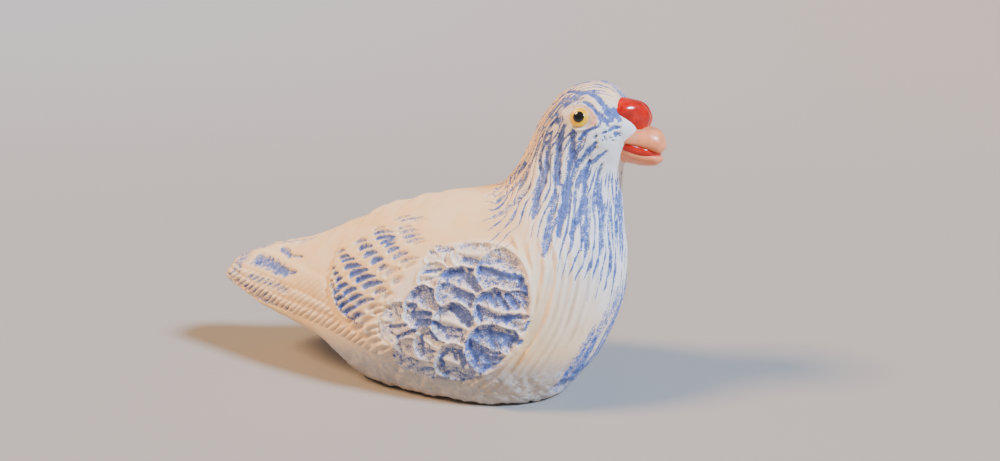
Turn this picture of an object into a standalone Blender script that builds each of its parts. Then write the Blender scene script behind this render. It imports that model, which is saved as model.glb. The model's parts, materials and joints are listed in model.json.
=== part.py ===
"""A pigeon of fired terracotta, pressed in a two-part mould and painted: one solid on a flat base.

The frame: the beak points along +X, the bird's left side along +Y, and the base lies on z = 0 with the
origin under the middle of the body. The form is a loft of sections from the tail tip, over the body and up
the neck, to the face. Cere, beak and eyes are joined on, and functions raise the feathers from the surface.
"""

import math

import bmesh
import bpy
import numpy as np
from mathutils import Matrix, Vector

MM = 0.001

# The three driving sizes, in metres.
BIRD_LENGTH = 153.5 * MM  # tail tip to beak tip
BIRD_WIDTH = 62.0 * MM  # across the wings, under their carving
BIRD_HEIGHT = 94.0 * MM  # base to crown

# The form is drawn at this length, width and height, in millimetres, and stretched to the driving sizes.
DRAWN = np.array((153.5, 62.0, 94.0))

# Depth of the carving, in metres.
PATCH_RISE = 0.7 * MM  # the round patch of covert feathers above the flank
LEADING_RIM = 1.0 * MM  # the smooth rim along the front of the patch
COVERT_DISH = 0.75 * MM  # the hollow of each covert feather inside its raised edge
COVERT_EDGE = 0.35 * MM
COVERT_SHAFT = 0.65 * MM
WING_STEP = 0.9 * MM  # the folded wing over the tail
ROW_DIP = 0.2 * MM  # each row of wing feathers under the smooth strip behind it
BARB_DEPTH = 1.0 * MM  # the hollows between the barbs of the wing feathers
ROPE_DEPTH = 0.9 * MM  # and between those of the tail feathers
TAIL_GROOVE = 0.7 * MM  # between two tail feathers
FLUTE_DEPTH = 0.6 * MM  # the combed neck
LID_RISE = 0.5 * MM

# The eyes.
EYE_DIAMETER = 5.4 * MM
EYE_RISE = 0.7 * MM
PUPIL_DIAMETER = 3.1 * MM
PUPIL_RISE = 1.1 * MM
PUPIL_STEP = 0.15 * MM  # the pupil's upright edge
EYE_SIDES = 14
BALL_RINGS = 5
PUPIL_RINGS = 4

# Fineness of the mesh.
BODY_RINGS = 420
BODY_SIDES = 360
SMALL_RINGS = 12
SMALL_SIDES = 16
BODY_TRIANGLES = 8750
SPACING_SAMPLES = 1500
START_ROUNDING = 0.75  # stations over which the first end of a form rounds off, and the last one
END_ROUNDING = 0.8

# Sections of the form, in drawn millimetres, each spanned between a point on the back and one on the belly:
# back x, z | belly x, z | half width | height share of the widest point | roundness above it, below it.
BODY = (
    (-95.0, 30.5, -95.0, 26.5, 8.0, 0.40, 2.0, 2.0),
    (-86.0, 35.0, -86.0, 24.0, 11.0, 0.25, 1.75, 2.2),
    (-73.0, 39.3, -74.0, 19.0, 15.0, 0.20, 1.7, 2.2),
    (-58.0, 43.7, -60.0, 15.0, 19.8, 0.22, 1.7, 2.2),
    (-44.0, 49.0, -46.0, 9.5, 24.0, 0.26, 1.8, 2.2),
    (-33.0, 53.4, -35.5, -0.5, 26.5, 0.35, 1.9, 2.0),
    (-22.0, 57.0, -22.5, -4.5, 29.0, 0.40, 1.95, 2.15),
    (-7.0, 60.5, 2.0, -8.0, 31.0, 0.45, 2.0, 2.3),
    (4.0, 62.3, 22.0, -4.5, 31.0, 0.46, 2.0, 2.3),
    (9.5, 64.0, 37.5, 9.0, 29.0, 0.46, 2.0, 2.1),
    (12.5, 67.0, 45.5, 26.0, 25.5, 0.46, 1.9, 2.0),
    (15.5, 71.5, 47.0, 42.0, 20.5, 0.46, 1.9, 2.0),
    (18.5, 77.5, 46.0, 54.5, 16.5, 0.48, 2.0, 2.0),
    (22.3, 84.5, 45.4, 62.5, 14.8, 0.52, 2.0, 2.0),
    (28.5, 91.3, 45.4, 67.0, 14.8, 0.54, 2.0, 2.1),
    (36.5, 94.0, 46.0, 70.0, 13.6, 0.52, 2.0, 2.3),
    (43.2, 92.3, 47.3, 73.2, 10.8, 0.46, 2.0, 2.3),
    (48.0, 86.4, 50.6, 76.8, 6.2, 0.42, 2.0, 2.3),
)
UPPER_BEAK = (
    (41.0, 80.0, 41.0, 75.0, 5.5, 0.42, 2.0, 2.6),
    (46.5, 80.9, 46.0, 74.5, 6.2, 0.40, 2.0, 2.8),
    (51.5, 81.2, 51.0, 72.9, 6.1, 0.40, 2.0, 2.8),
    (56.0, 79.9, 55.6, 71.8, 5.0, 0.42, 2.0, 2.4),
    (58.7, 76.9, 57.8, 72.6, 3.2, 0.45, 2.0, 2.0),
)
LOWER_BEAK = (
    (41.0, 75.0, 41.0, 70.5, 4.6, 0.55, 2.6, 2.0),
    (46.5, 74.4, 46.5, 70.0, 5.3, 0.62, 2.8, 2.0),
    (51.5, 72.9, 51.5, 69.5, 5.2, 0.64, 2.8, 2.0),
    (55.0, 72.1, 54.8, 69.7, 4.2, 0.62, 2.6, 2.0),
    (57.3, 72.0, 57.0, 70.7, 2.6, 0.55, 2.2, 2.0),
)
TONGUE = (
    (42.0, 77.5, 42.0, 73.5, 4.0, 0.5, 2.0, 2.0),
    (48.0, 76.2, 48.0, 72.6, 5.0, 0.5, 2.0, 2.0),
    (53.0, 75.0, 53.0, 71.4, 4.5, 0.5, 2.0, 2.0),
    (56.4, 73.6, 56.4, 71.2, 3.0, 0.5, 2.0, 2.0),
)
# The cere lies along a slope down the forehead: along it, above it and below it | half width.
CERE_START = (44.0, 88.3)
CERE_SLOPE = math.radians(-37.0)
CERE_ROUNDNESS = (0.6, 2.0, 2.0)  # height share of its widest point, and its roundness above and below it
CERE = (
    (-2.4, 0.6, -1.5, 1.6),
    (-0.2, 1.5, -3.0, 3.2),
    (1.9, 1.7, -4.5, 3.7),
    (5.5, 3.9, -6.0, 4.3),
    (8.2, 3.5, -6.0, 4.6),
    (10.6, 2.5, -5.5, 4.0),
    (12.7, 0.6, -4.0, 2.4),
)

# The feathers are laid out on the unrolled flank, in drawn millimetres: x, and girth down from the back.
PATCH_CENTRE = (5.0, 49.5)
PATCH_RADII = (24.5, 21.5)
PATCH_EDGE = 2.2
LEADING_RIM_WIDTH = 2.0
# Columns of covert feathers, rear to front, each lapping over the one behind it:
# x, girth of the top one, how many, length, width.
COVERT_COLUMNS = (
    (-10.0, 49.5, 2, 13.5, 10.8),
    (-1.0, 32.5, 1, 9.5, 7.6),
    (-3.0, 38.0, 3, 12.0, 9.8),
    (6.8, 33.2, 4, 12.5, 10.0),
    (19.2, 41.0, 3, 14.8, 11.4),
)
COVERT_PITCH = 9.8
COVERT_TURN = math.radians(28.0)  # the tips point to the rear and up by this
COVERT_EDGE_SHARE = 0.14
COVERT_EDGE_WIDTH = 0.22
COVERT_SHAFT_WIDTH = 1.0
# The folded wing: rows of barbs that run down to the front, between the back and the wing's lower edge.
ROW_DIRECTION = math.radians(42.0)
FIRST_ROW = 23.5
LAST_ROW = 54.5
ROW_COUNT = 6
BARB_PITCH = 2.3  # in the first row, and what each row adds to it
BARB_GROWTH = 0.25
BARB_RISE = math.radians(3.0)
HOLLOW_START, HOLLOW_END = 0.7, 0.16  # shares of a row over which a hollow deepens and ends
WING_REAR = -41.5
WING_CORNER = 9.0
WING_EDGE_WIDTH = 1.2
WING_FRONT = (-8.0, 8.0)  # x where the rows fade out towards the shoulder, and over what
BACK_FADE = (14.0, 8.0)  # girth from the back where the rows start, and over what
# The tail: the lower edges of its feathers, as shares of the girth from the back to the tail's edge.
TAIL_FEATHERS = (0.0, 0.22, 0.44, 0.68, 0.88, 1.14)
FEATHER_BULGE = 0.4  # 1 is a narrow ridge with wide valleys, and less is a broad back with narrow ones
TAIL_BARB_SHARES = (0.0, 0.0, 0.3, 0.8, 1.0)  # how strongly each of them is barbed
ROPE_PITCH = 2.7
ROPE_RISE = math.radians(35.0)
TAIL_TIP_FADE = (-92.0, 6.0)
RUMP_FADE = (-47.0, 16.0)  # x where the feathers along the back have sunk into the rump, and over what
TAIL_END = (6.6, 1.2)  # the station where the tail's feathers have faded out, and over how many
ROUNDED, EVEN = 0.7, 1.2  # roundness of the ridges of the flutes and ropes, and of the barbs
FLUTES = 26
FLUTE_SPAN = (8.4, 11.2, 13.6, 15.2)  # stations where the flutes start, are full, fade and end
FLUTE_WANDER = ((0.25, 1.3, 0.0), (0.15, 3.1, 3.0))  # size, turns per station and lag of two slow bends
NAPE_FADE = (0.14, 0.28)  # shares of a turn from the back over which they come in
FACE_AT = (47.0, 76.0)  # the root of the beak, and the reach around it that is smooth
FACE_FADE = (11.5, 9.0)
HEAD_START = 12.0  # the eyelids belong to the sections after this station
EYE_AT = (36.0, 83.4)
LID_RADII = (6.0, 3.7)
LID_TILT = math.radians(-14.0)
LID_POINT = 1.5  # the power of its outline: 2 is an oval, and less draws the corners out to points
LID_WIDTH = 0.2

# Colour, roughness and metallic value of each finish.
FINISHES = {
    "cream_paint": ((0.80, 0.69, 0.54, 1.0), 0.75, 0.0),
    "red_enamel": ((0.66, 0.03, 0.01, 1.0), 0.25, 0.0),
    "pink_enamel": ((0.80, 0.38, 0.25, 1.0), 0.35, 0.0),
    "yellow_enamel": ((0.80, 0.55, 0.06, 1.0), 0.35, 0.0),
    "black_enamel": ((0.01, 0.01, 0.01, 1.0), 0.2, 0.0),
}


def smooth_step(value):
    """0 below 0, 1 above 1, and an even S between."""
    held = np.clip(value, 0.0, 1.0)
    return held * held * (3.0 - 2.0 * held)


def ridge(distance, half_width):
    """A rounded ridge, 1 high at distance 0."""
    return np.clip(1.0 - (distance / half_width) ** 2, 0.0, 1.0) ** 2


def wave(phase, roundness=ROUNDED):
    """Ridges one unit apart and 1 high. Below 1 the roundness gives broad ridges and narrow valleys."""
    return np.abs(np.cos(math.pi * phase)) ** roundness


def smooth_through(rows, at):
    """A Catmull-Rom curve through the rows, read at row numbers."""
    last = len(rows) - 1
    first = np.clip(np.floor(at).astype(int), 0, last - 1)
    part = (at - first)[:, None]
    here, ahead = rows[first], rows[first + 1]
    behind = np.where((first > 0)[:, None], rows[np.maximum(first - 1, 0)], 2.0 * here - ahead)
    beyond = np.where((first < last - 1)[:, None], rows[np.minimum(first + 2, last)], 2.0 * ahead - here)
    slope = (ahead - behind) * part
    bend = (2.0 * behind - 5.0 * here + 4.0 * ahead - beyond) * part**2
    twist = (3.0 * here - 3.0 * ahead + beyond - behind) * part**3
    return 0.5 * (2.0 * here + slope + bend + twist)


def section_points(stations, at, turns):
    """Drawn points of the sections at station numbers. Turn 0 is the back, and the right side comes next."""
    rows = smooth_through(np.array(stations), at)
    from_start, from_end = at / START_ROUNDING, (len(stations) - 1 - at) / END_ROUNDING
    inset = 1.0 - np.clip(np.minimum(from_start, from_end), 0.0, 1.0)
    size = np.sqrt(np.clip(1.0 - inset**2, 0.0, 1.0))[:, None]
    back, belly = rows[:, 0:2], rows[:, 2:4]
    middle = 0.5 * (back + belly)
    back, belly = middle + (back - middle) * size, middle + (belly - middle) * size
    half_width, level = rows[:, 4:5] * size, rows[:, 5:6]
    upright, sideways = np.cos(turns)[None, :], np.sin(turns)[None, :]
    power = 2.0 / np.where(upright > 0.0, rows[:, 6:7], rows[:, 7:8])
    climb = np.sign(upright) * np.abs(upright) ** power
    height = level + climb * np.where(upright > 0.0, 1.0 - level, level)
    x = belly[:, 0:1] + (back - belly)[:, 0:1] * height
    y = -half_width * np.sign(sideways) * np.abs(sideways) ** power
    z = belly[:, 1:2] + (back - belly)[:, 1:2] * height
    return np.stack([x, y, z], axis=-1)


def even_stations(stations, count):
    """Station numbers that lie evenly along the form, both ends included."""
    fine = np.linspace(0.0, len(stations) - 1.0, SPACING_SAMPLES)
    points = section_points(stations, fine, np.linspace(0.0, 2.0 * math.pi, SMALL_SIDES))
    steps = np.linalg.norm(np.diff(points, axis=0), axis=2).mean(axis=1)
    run = np.concatenate([[0.0], np.cumsum(steps)])
    return np.interp(np.linspace(0.0, run[-1], count), run, fine)


def outward_normals(points):
    """Unit normals of a grid of rings, each ring closed."""
    along = np.gradient(points, axis=0)
    around = np.roll(points, -1, axis=1) - np.roll(points, 1, axis=1)
    normals = np.cross(around, along)
    return normals / np.maximum(np.linalg.norm(normals, axis=2, keepdims=True), 1e-12)


def grid_mesh(name, points):
    """A closed mesh over a grid of rings whose first and last rings are each one point."""
    rings, sides = points.shape[:2]
    vertices = [tuple(points[0, 0])]
    vertices += [tuple(point) for ring in points[1:-1] for point in ring]
    vertices.append(tuple(points[-1, 0]))

    def number(ring, side):
        return 1 + (ring - 1) * sides + side % sides

    faces = []
    for side in range(sides):
        faces.append((0, number(1, side + 1), number(1, side)))
        for ring in range(1, rings - 2):
            near, far = number(ring, side), number(ring, side + 1)
            faces.append((near, far, number(ring + 1, side + 1), number(ring + 1, side)))
        faces.append((number(rings - 2, side), number(rings - 2, side + 1), len(vertices) - 1))
    mesh = bpy.data.meshes.new(name)
    mesh.from_pydata(vertices, [], faces)
    mesh.validate()
    return mesh


def covert_feathers(x, girth):
    """Height of the covert patch: a low dome, its leading rim and the leaf-shaped feathers sunk into it."""
    across, down = (x - PATCH_CENTRE[0]) / PATCH_RADII[0], (girth - PATCH_CENTRE[1]) / PATCH_RADII[1]
    radius = np.hypot(across, down)
    inside = (1.0 - radius) * min(PATCH_RADII)
    height = PATCH_RISE * smooth_step(inside / PATCH_EDGE)
    front = smooth_step(across / np.maximum(radius, 0.1))
    height += LEADING_RIM * front * ridge(inside - 0.5 * PATCH_EDGE, LEADING_RIM_WIDTH)
    for centre_x, top, count, length, width in COVERT_COLUMNS:
        for number in range(count):
            off_x, off_girth = x - centre_x, girth - top - number * COVERT_PITCH
            along = -(off_x * math.cos(COVERT_TURN) + off_girth * math.sin(COVERT_TURN))
            aside = off_girth * math.cos(COVERT_TURN) - off_x * math.sin(COVERT_TURN)
            reach = np.hypot(along / (0.5 * length), aside / (0.5 * width))
            dish = smooth_step((1.0 - reach) / COVERT_EDGE_SHARE)
            edge = ridge(reach - 1.0, COVERT_EDGE_WIDTH)
            shaft = ridge(aside, COVERT_SHAFT_WIDTH) * dish
            leaf = PATCH_RISE + COVERT_EDGE * edge - COVERT_DISH * dish + COVERT_SHAFT * shaft
            height = np.where(reach < 1.0 + COVERT_EDGE_SHARE, leaf, height)
    return height


def wing_cross(x, girth):
    """Distance across the wing's rows, towards its lower edge."""
    return girth * math.cos(ROW_DIRECTION) - x * math.sin(ROW_DIRECTION)


def wing_inset(x, girth):
    """How far inside the folded wing's rear and lower edge a point lies, in drawn millimetres."""
    from_rear, from_edge = x - WING_REAR, LAST_ROW - wing_cross(x, girth)
    gap = np.maximum(WING_CORNER - np.abs(from_rear - from_edge), 0.0)
    return np.minimum(from_rear, from_edge) - gap**2 / (4.0 * WING_CORNER)


def wing_feathers(x, girth):
    """Height of the folded wing: its step over the tail, and rows of barbs with hollows between them."""
    inside = smooth_step(wing_inset(x, girth) / WING_EDGE_WIDTH)
    near_back = smooth_step((girth - BACK_FADE[0]) / BACK_FADE[1])
    row = (wing_cross(x, girth) - FIRST_ROW) / (LAST_ROW - FIRST_ROW) * ROW_COUNT
    number = np.clip(np.floor(row), 0, ROW_COUNT - 1)
    share = np.clip(row - number, 0.0, 1.0)
    rows = smooth_step(row) * smooth_step((WING_FRONT[0] - x) / WING_FRONT[1])
    phase = (girth * math.cos(BARB_RISE) + x * math.sin(BARB_RISE)) / (BARB_PITCH + BARB_GROWTH * number)
    hollow = smooth_step(share / HOLLOW_START) * smooth_step((1.0 - share) / HOLLOW_END)
    step = WING_STEP * smooth_step((PATCH_CENTRE[0] - x) / PATCH_RADII[0])
    depth = ROW_DIP + BARB_DEPTH * (1.0 - wave(phase, EVEN))
    return near_back * inside * (step - rows * hollow * depth)


def tail_feathers(x, girth, edge_girth):
    """Height of the tail: long feathers side by side, the outer ones barbed like rope."""
    share = girth / np.maximum(edge_girth, 1.0)
    fade = smooth_step((x - TAIL_TIP_FADE[0]) / TAIL_TIP_FADE[1])
    fade = fade * smooth_step(-wing_inset(x, girth) / WING_EDGE_WIDTH)
    on_rump = smooth_step((RUMP_FADE[0] - x) / RUMP_FADE[1])
    fade = fade * np.maximum(on_rump, smooth_step((girth - BACK_FADE[0]) / BACK_FADE[1]))
    barbs = wave((x * math.sin(ROPE_RISE) + girth * math.cos(ROPE_RISE)) / ROPE_PITCH)
    height = np.zeros_like(x)
    for number, barbed in enumerate(TAIL_BARB_SHARES):
        upper, lower = TAIL_FEATHERS[number], TAIL_FEATHERS[number + 1]
        across = (share - 0.5 * (upper + lower)) / (0.5 * (lower - upper))
        bulge = ridge(across, 1.0) ** FEATHER_BULGE
        height += bulge * (TAIL_GROOVE - ROPE_DEPTH * barbed * (1.0 - barbs))
    return fade * height


def neck_flutes(at, turns, x, z):
    """Height of the combed neck: flutes that run from the face down the neck and out over the breast."""
    rise, full, fade, end = FLUTE_SPAN
    mask = smooth_step((at - rise) / (full - rise)) * smooth_step((end - at) / (end - fade))
    from_back = 0.5 - np.abs(turns / (2.0 * math.pi) - 0.5)
    mask = mask * smooth_step((from_back - NAPE_FADE[0]) / (NAPE_FADE[1] - NAPE_FADE[0]))
    from_face = np.hypot(x - FACE_AT[0], z - FACE_AT[1])
    mask = mask * smooth_step((from_face - FACE_FADE[0]) / FACE_FADE[1])
    phase = FLUTES * from_back
    for size, rate, lag in FLUTE_WANDER:
        phase = phase + size * np.sin(rate * at + lag * from_back)
    return FLUTE_DEPTH * mask * (wave(phase) - 1.0)


def eyelids(x, z):
    """Height of the almond-shaped lid around each eye."""
    off_x, off_z = x - EYE_AT[0], z - EYE_AT[1]
    along = off_x * math.cos(LID_TILT) + off_z * math.sin(LID_TILT)
    upright = off_z * math.cos(LID_TILT) - off_x * math.sin(LID_TILT)
    across, over = np.abs(along / LID_RADII[0]), np.abs(upright / LID_RADII[1])
    reach = (across**LID_POINT + over**LID_POINT) ** (1.0 / LID_POINT)
    return LID_RISE * ridge(reach - 1.0, LID_WIDTH)


def stretched(drawn):
    """Drawn millimetres to metres at the driving sizes."""
    return drawn / DRAWN * np.array((BIRD_LENGTH, BIRD_WIDTH, BIRD_HEIGHT))


def carved_body():
    """The loft with its carving, as a grid in metres, and the smooth grid under it with its normals."""
    at = even_stations(BODY, BODY_RINGS)
    turns = np.arange(BODY_SIDES) * 2.0 * math.pi / BODY_SIDES
    drawn = section_points(BODY, at, turns)
    steps = np.linalg.norm(np.diff(drawn, axis=1), axis=2)
    half = BODY_SIDES // 2
    down = np.concatenate([np.zeros((BODY_RINGS, 1)), np.cumsum(steps[:, :half], axis=1)], axis=1)
    girth = np.concatenate([down, down[:, half - 1 : 0 : -1]], axis=1)
    edge_girth = np.broadcast_to(girth[:, BODY_SIDES // 4, None], girth.shape)
    x, z = drawn[..., 0], drawn[..., 2]
    height = covert_feathers(x, girth) + wing_feathers(x, girth)
    on_tail = smooth_step((TAIL_END[0] - at[:, None]) / TAIL_END[1])
    height += on_tail * tail_feathers(x, girth, edge_girth)
    height += neck_flutes(at[:, None], turns[None, :], x, z)
    height += np.where(at[:, None] > HEAD_START, eyelids(x, z), 0.0)
    smooth = stretched(drawn)
    normals = outward_normals(smooth)
    return smooth + normals * height[..., None], smooth, normals


def linked(mesh, collection):
    thing = bpy.data.objects.new(mesh.name, mesh)
    collection.objects.link(thing)
    return thing


def finish_material(name):
    colour, roughness, metallic = FINISHES[name]
    material = bpy.data.materials.new(name)
    material.use_nodes = True
    shader = material.node_tree.nodes["Principled BSDF"]
    shader.inputs["Base Color"].default_value = colour
    shader.inputs["Roughness"].default_value = roughness
    shader.inputs["Metallic"].default_value = metallic
    return material


def thinned(thing, triangles):
    """The object's mesh with only as many triangles as its shape needs."""
    modifier = thing.modifiers.new("thin", "DECIMATE")
    modifier.ratio = triangles / (2.0 * len(thing.data.polygons))
    graph = bpy.context.evaluated_depsgraph_get()
    mesh = bpy.data.meshes.new_from_object(thing.evaluated_get(graph))
    thing.modifiers.clear()
    thing.data = mesh
    return mesh


def cut_flat(mesh):
    """Cuts away what is under z = 0 and closes the base."""
    work = bmesh.new()
    work.from_mesh(mesh)
    everything = work.verts[:] + work.edges[:] + work.faces[:]
    bmesh.ops.bisect_plane(work, geom=everything, plane_co=(0, 0, 0), plane_no=(0, 0, 1), clear_inner=True)
    rim = [edge for edge in work.edges if edge.is_boundary]
    bmesh.ops.contextual_create(work, geom=rim)
    bmesh.ops.triangulate(work, faces=work.faces[:])
    bmesh.ops.recalc_face_normals(work, faces=work.faces[:])
    work.to_mesh(mesh)
    work.free()


def small_form(name, stations, collection, finish):
    """A lofted form that is joined onto the head."""
    turns = np.arange(SMALL_SIDES) * 2.0 * math.pi / SMALL_SIDES
    points = stretched(section_points(stations, even_stations(stations, SMALL_RINGS), turns))
    mesh = grid_mesh(name, points)
    mesh.materials.append(finish)
    return linked(mesh, collection)


def cere_stations():
    """The cere's sections, turned from its own slope into the drawing."""
    along = np.array((math.cos(CERE_SLOPE), math.sin(CERE_SLOPE)))
    upward = np.array((-along[1], along[0]))
    sections = []
    for reach, above, below, half_width in CERE:
        foot = np.array(CERE_START) + along * reach
        top, low = foot + upward * above, foot + upward * below
        sections.append((*top, *low, half_width, *CERE_ROUNDNESS))
    return sections


def eye_profile():
    """Radius and height of the rings of an eye, from its sunken pole over the ball and its pupil."""
    ball_radius, pupil_radius = 0.5 * EYE_DIAMETER, 0.5 * PUPIL_DIAMETER
    rim = math.acos(pupil_radius / ball_radius)
    foot = EYE_RISE * math.sin(rim) + PUPIL_STEP
    ball, dome = np.linspace(-0.5 * math.pi, rim, BALL_RINGS), np.linspace(0.0, 0.5 * math.pi, PUPIL_RINGS)
    profile = [(ball_radius * math.cos(a), EYE_RISE * math.sin(a)) for a in ball]
    profile += [(pupil_radius * math.cos(a), foot + (PUPIL_RISE - foot) * math.sin(a)) for a in dome]
    return profile


def eye_form(name, spot, outward, collection, finishes):
    """A flattened ball half sunk into the side of the head, with a raised pupil."""
    turns = np.arange(EYE_SIDES) * 2.0 * math.pi / EYE_SIDES
    across, aside, level = np.cos(turns), np.sin(turns), np.ones(EYE_SIDES)
    rings = [(radius * across, radius * aside, height * level) for radius, height in eye_profile()]
    mesh = grid_mesh(name, np.array(rings).transpose(0, 2, 1))
    for finish in finishes:
        mesh.materials.append(finish)
    for face in mesh.polygons:
        face.material_index = int(face.center.z > EYE_RISE)
    turn = Vector(outward).to_track_quat("Z", "Y").to_matrix().to_4x4()
    mesh.transform(Matrix.Translation(Vector(spot)) @ turn)
    return linked(mesh, collection)


def join_on(thing, form):
    """Joins a form to the bird with a Boolean union, and keeps it as a hidden guide."""
    form.hide_render = True
    form.display_type = "WIRE"
    modifier = thing.modifiers.new(form.name, "BOOLEAN")
    modifier.operation = "UNION"
    modifier.solver = "EXACT"
    modifier.use_self = True
    modifier.material_mode = "TRANSFER"
    modifier.object = form


def build_bird():
    for old in list(bpy.data.objects):
        bpy.data.objects.remove(old, do_unlink=True)
    parts = bpy.data.collections.new("pigeon_figurine")
    forms = bpy.data.collections.new("joined_forms")
    bpy.context.scene.collection.children.link(parts)
    bpy.context.scene.collection.children.link(forms)
    finishes = {name: finish_material(name) for name in FINISHES}

    carved, smooth, normals = carved_body()
    bird = linked(grid_mesh("bird", carved), parts)
    cut_flat(thinned(bird, BODY_TRIANGLES))
    bird.data.materials.append(finishes["cream_paint"])

    join_on(bird, small_form("tongue_form", TONGUE, forms, finishes["red_enamel"]))
    join_on(bird, small_form("lower_beak_form", LOWER_BEAK, forms, finishes["pink_enamel"]))
    join_on(bird, small_form("upper_beak_form", UPPER_BEAK, forms, finishes["pink_enamel"]))
    join_on(bird, small_form("cere_form", cere_stations(), forms, finishes["red_enamel"]))

    eye_finishes = (finishes["yellow_enamel"], finishes["black_enamel"])
    eye_at = stretched(np.array((EYE_AT[0], 0.0, EYE_AT[1])))
    for side, name in ((-1.0, "right"), (1.0, "left")):
        away = np.hypot(smooth[..., 0] - eye_at[0], smooth[..., 2] - eye_at[2])
        away = np.where(smooth[..., 1] * side > 0.0, away, np.inf)
        nearest = np.unravel_index(np.argmin(away), away.shape)
        spot, outward = smooth[nearest], normals[nearest]
        join_on(bird, eye_form(f"{name}_eye_form", spot, outward, forms, eye_finishes))
    return bird


build_bird()
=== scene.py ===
import json
import math

import bmesh
import bpy
import numpy as np
from mathutils import Matrix, Vector

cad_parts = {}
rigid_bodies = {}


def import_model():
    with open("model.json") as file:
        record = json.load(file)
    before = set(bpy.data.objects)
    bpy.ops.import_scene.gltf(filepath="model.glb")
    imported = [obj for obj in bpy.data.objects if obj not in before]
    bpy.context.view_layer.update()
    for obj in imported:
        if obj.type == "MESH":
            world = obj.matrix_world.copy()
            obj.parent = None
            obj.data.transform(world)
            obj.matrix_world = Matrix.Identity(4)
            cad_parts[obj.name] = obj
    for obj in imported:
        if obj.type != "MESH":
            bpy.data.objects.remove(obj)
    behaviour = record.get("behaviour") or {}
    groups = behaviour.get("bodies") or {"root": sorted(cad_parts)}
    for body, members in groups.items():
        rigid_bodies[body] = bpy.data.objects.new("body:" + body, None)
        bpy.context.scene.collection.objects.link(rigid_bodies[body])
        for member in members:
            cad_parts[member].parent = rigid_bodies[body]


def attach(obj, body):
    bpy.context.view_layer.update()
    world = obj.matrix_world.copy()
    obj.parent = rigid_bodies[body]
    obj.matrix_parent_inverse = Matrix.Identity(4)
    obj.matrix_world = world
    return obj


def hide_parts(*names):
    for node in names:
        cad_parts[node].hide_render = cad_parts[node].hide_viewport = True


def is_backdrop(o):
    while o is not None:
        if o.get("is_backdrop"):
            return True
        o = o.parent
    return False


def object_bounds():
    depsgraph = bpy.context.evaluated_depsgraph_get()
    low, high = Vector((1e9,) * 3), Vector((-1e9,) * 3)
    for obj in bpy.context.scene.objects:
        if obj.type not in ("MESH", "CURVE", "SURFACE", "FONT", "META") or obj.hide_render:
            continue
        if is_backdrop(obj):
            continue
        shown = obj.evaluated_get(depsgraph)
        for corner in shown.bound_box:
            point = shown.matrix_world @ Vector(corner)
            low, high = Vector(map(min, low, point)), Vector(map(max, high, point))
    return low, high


# A pigeon of fired terracotta, painted cold: blue under-paint in the carving, cream brushed dry over it.
# The beak points along +X, the bird's left side along +Y, and it stands on z = 0.
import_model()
cadLow, cadHigh = (np.array(corner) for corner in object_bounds())
mm = 0.001
boxMargin = 1e-4  # share of the width

bird = {
    "rings": 700,  # fineness of the form before it is thinned
    "sides": 620,
    "triangles": 186000,
    "barbDepth": 0.95,  # mm, the strokes of the feathers and the bands of the neck
    "ropeDepth": 1.2,  # mm, the barbs along the tail's edge
    "combDepth": 0.34,  # mm, the fine combing of the neck
    "lumpHeight": 0.22,  # mm, the pressed clay's unevenness
    "lumpSize": 7.0,  # mm
    "pressHeight": 0.06,  # mm, small dents of fingers and tools
    "pressSize": 1.6,  # mm
    "seed": 7,
}

# Sections of the form in mm, each between a point on the back and one on the belly:
# back x, z | belly x, z | half width | height share of the widest point | roundness above it, below it
bodySections = (
    (-95.0, 30.5, -95.0, 26.5, 8.0, 0.40, 2.0, 2.0),
    (-86.0, 35.0, -86.0, 24.0, 11.0, 0.25, 1.75, 2.2),
    (-73.0, 39.3, -74.0, 19.0, 15.0, 0.20, 1.7, 2.2),
    (-58.0, 43.7, -60.0, 15.0, 19.8, 0.22, 1.7, 2.2),
    (-44.0, 49.0, -46.0, 9.5, 24.0, 0.26, 1.8, 2.2),
    (-33.0, 53.4, -35.5, -0.5, 26.5, 0.35, 1.9, 2.0),
    (-22.0, 57.0, -22.5, -4.5, 29.0, 0.40, 1.95, 2.15),
    (-7.0, 60.5, 2.0, -8.0, 31.0, 0.45, 2.0, 2.3),
    (4.0, 62.3, 22.0, -4.5, 31.0, 0.46, 2.0, 2.3),
    (9.5, 64.0, 37.5, 9.0, 29.0, 0.46, 2.0, 2.1),
    (12.5, 67.0, 45.5, 26.0, 25.5, 0.46, 1.9, 2.0),
    (15.5, 71.5, 47.0, 42.0, 20.5, 0.46, 1.9, 2.0),
    (18.5, 77.5, 46.0, 54.5, 16.5, 0.48, 2.0, 2.0),
    (22.3, 84.5, 45.4, 62.5, 14.8, 0.52, 2.0, 2.0),
    (28.5, 91.3, 45.4, 67.0, 14.8, 0.54, 2.0, 2.1),
    (36.5, 94.0, 46.0, 70.0, 13.6, 0.52, 2.0, 2.3),
    (43.2, 92.3, 47.3, 73.2, 10.8, 0.46, 2.0, 2.3),
    (48.0, 86.4, 50.6, 76.8, 6.2, 0.42, 2.0, 2.3),
)
startRounding, endRounding = 0.75, 0.8  # sections over which the ends of a form round off
spacingSamples, spacingSides = 1500, 16
noiseCells = 97  # after which softNoise repeats


def smoothStep(value):  # 0 below 0, 1 above 1, an even S between
    held = np.clip(value, 0.0, 1.0)
    return held * held * (3.0 - 2.0 * held)


def rises(value, start, width):  # 0 up to the start, 1 from one width further on
    return smoothStep((value - start) / width)


def falls(value, end, width):  # 1 up to one width before the end, 0 from the end on
    return smoothStep((end - value) / width)


def ridge(distance, halfWidth):  # a rounded ridge, 1 high at distance 0
    return np.clip(1.0 - (distance / halfWidth) ** 2, 0.0, 1.0) ** 2


def axisAt(degrees):
    return math.cos(math.radians(degrees)), math.sin(math.radians(degrees))


def alongAxis(u, v, axis):  # how far a point lies along an axis, and beside it
    return u * axis[0] + v * axis[1], v * axis[0] - u * axis[1]


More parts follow.
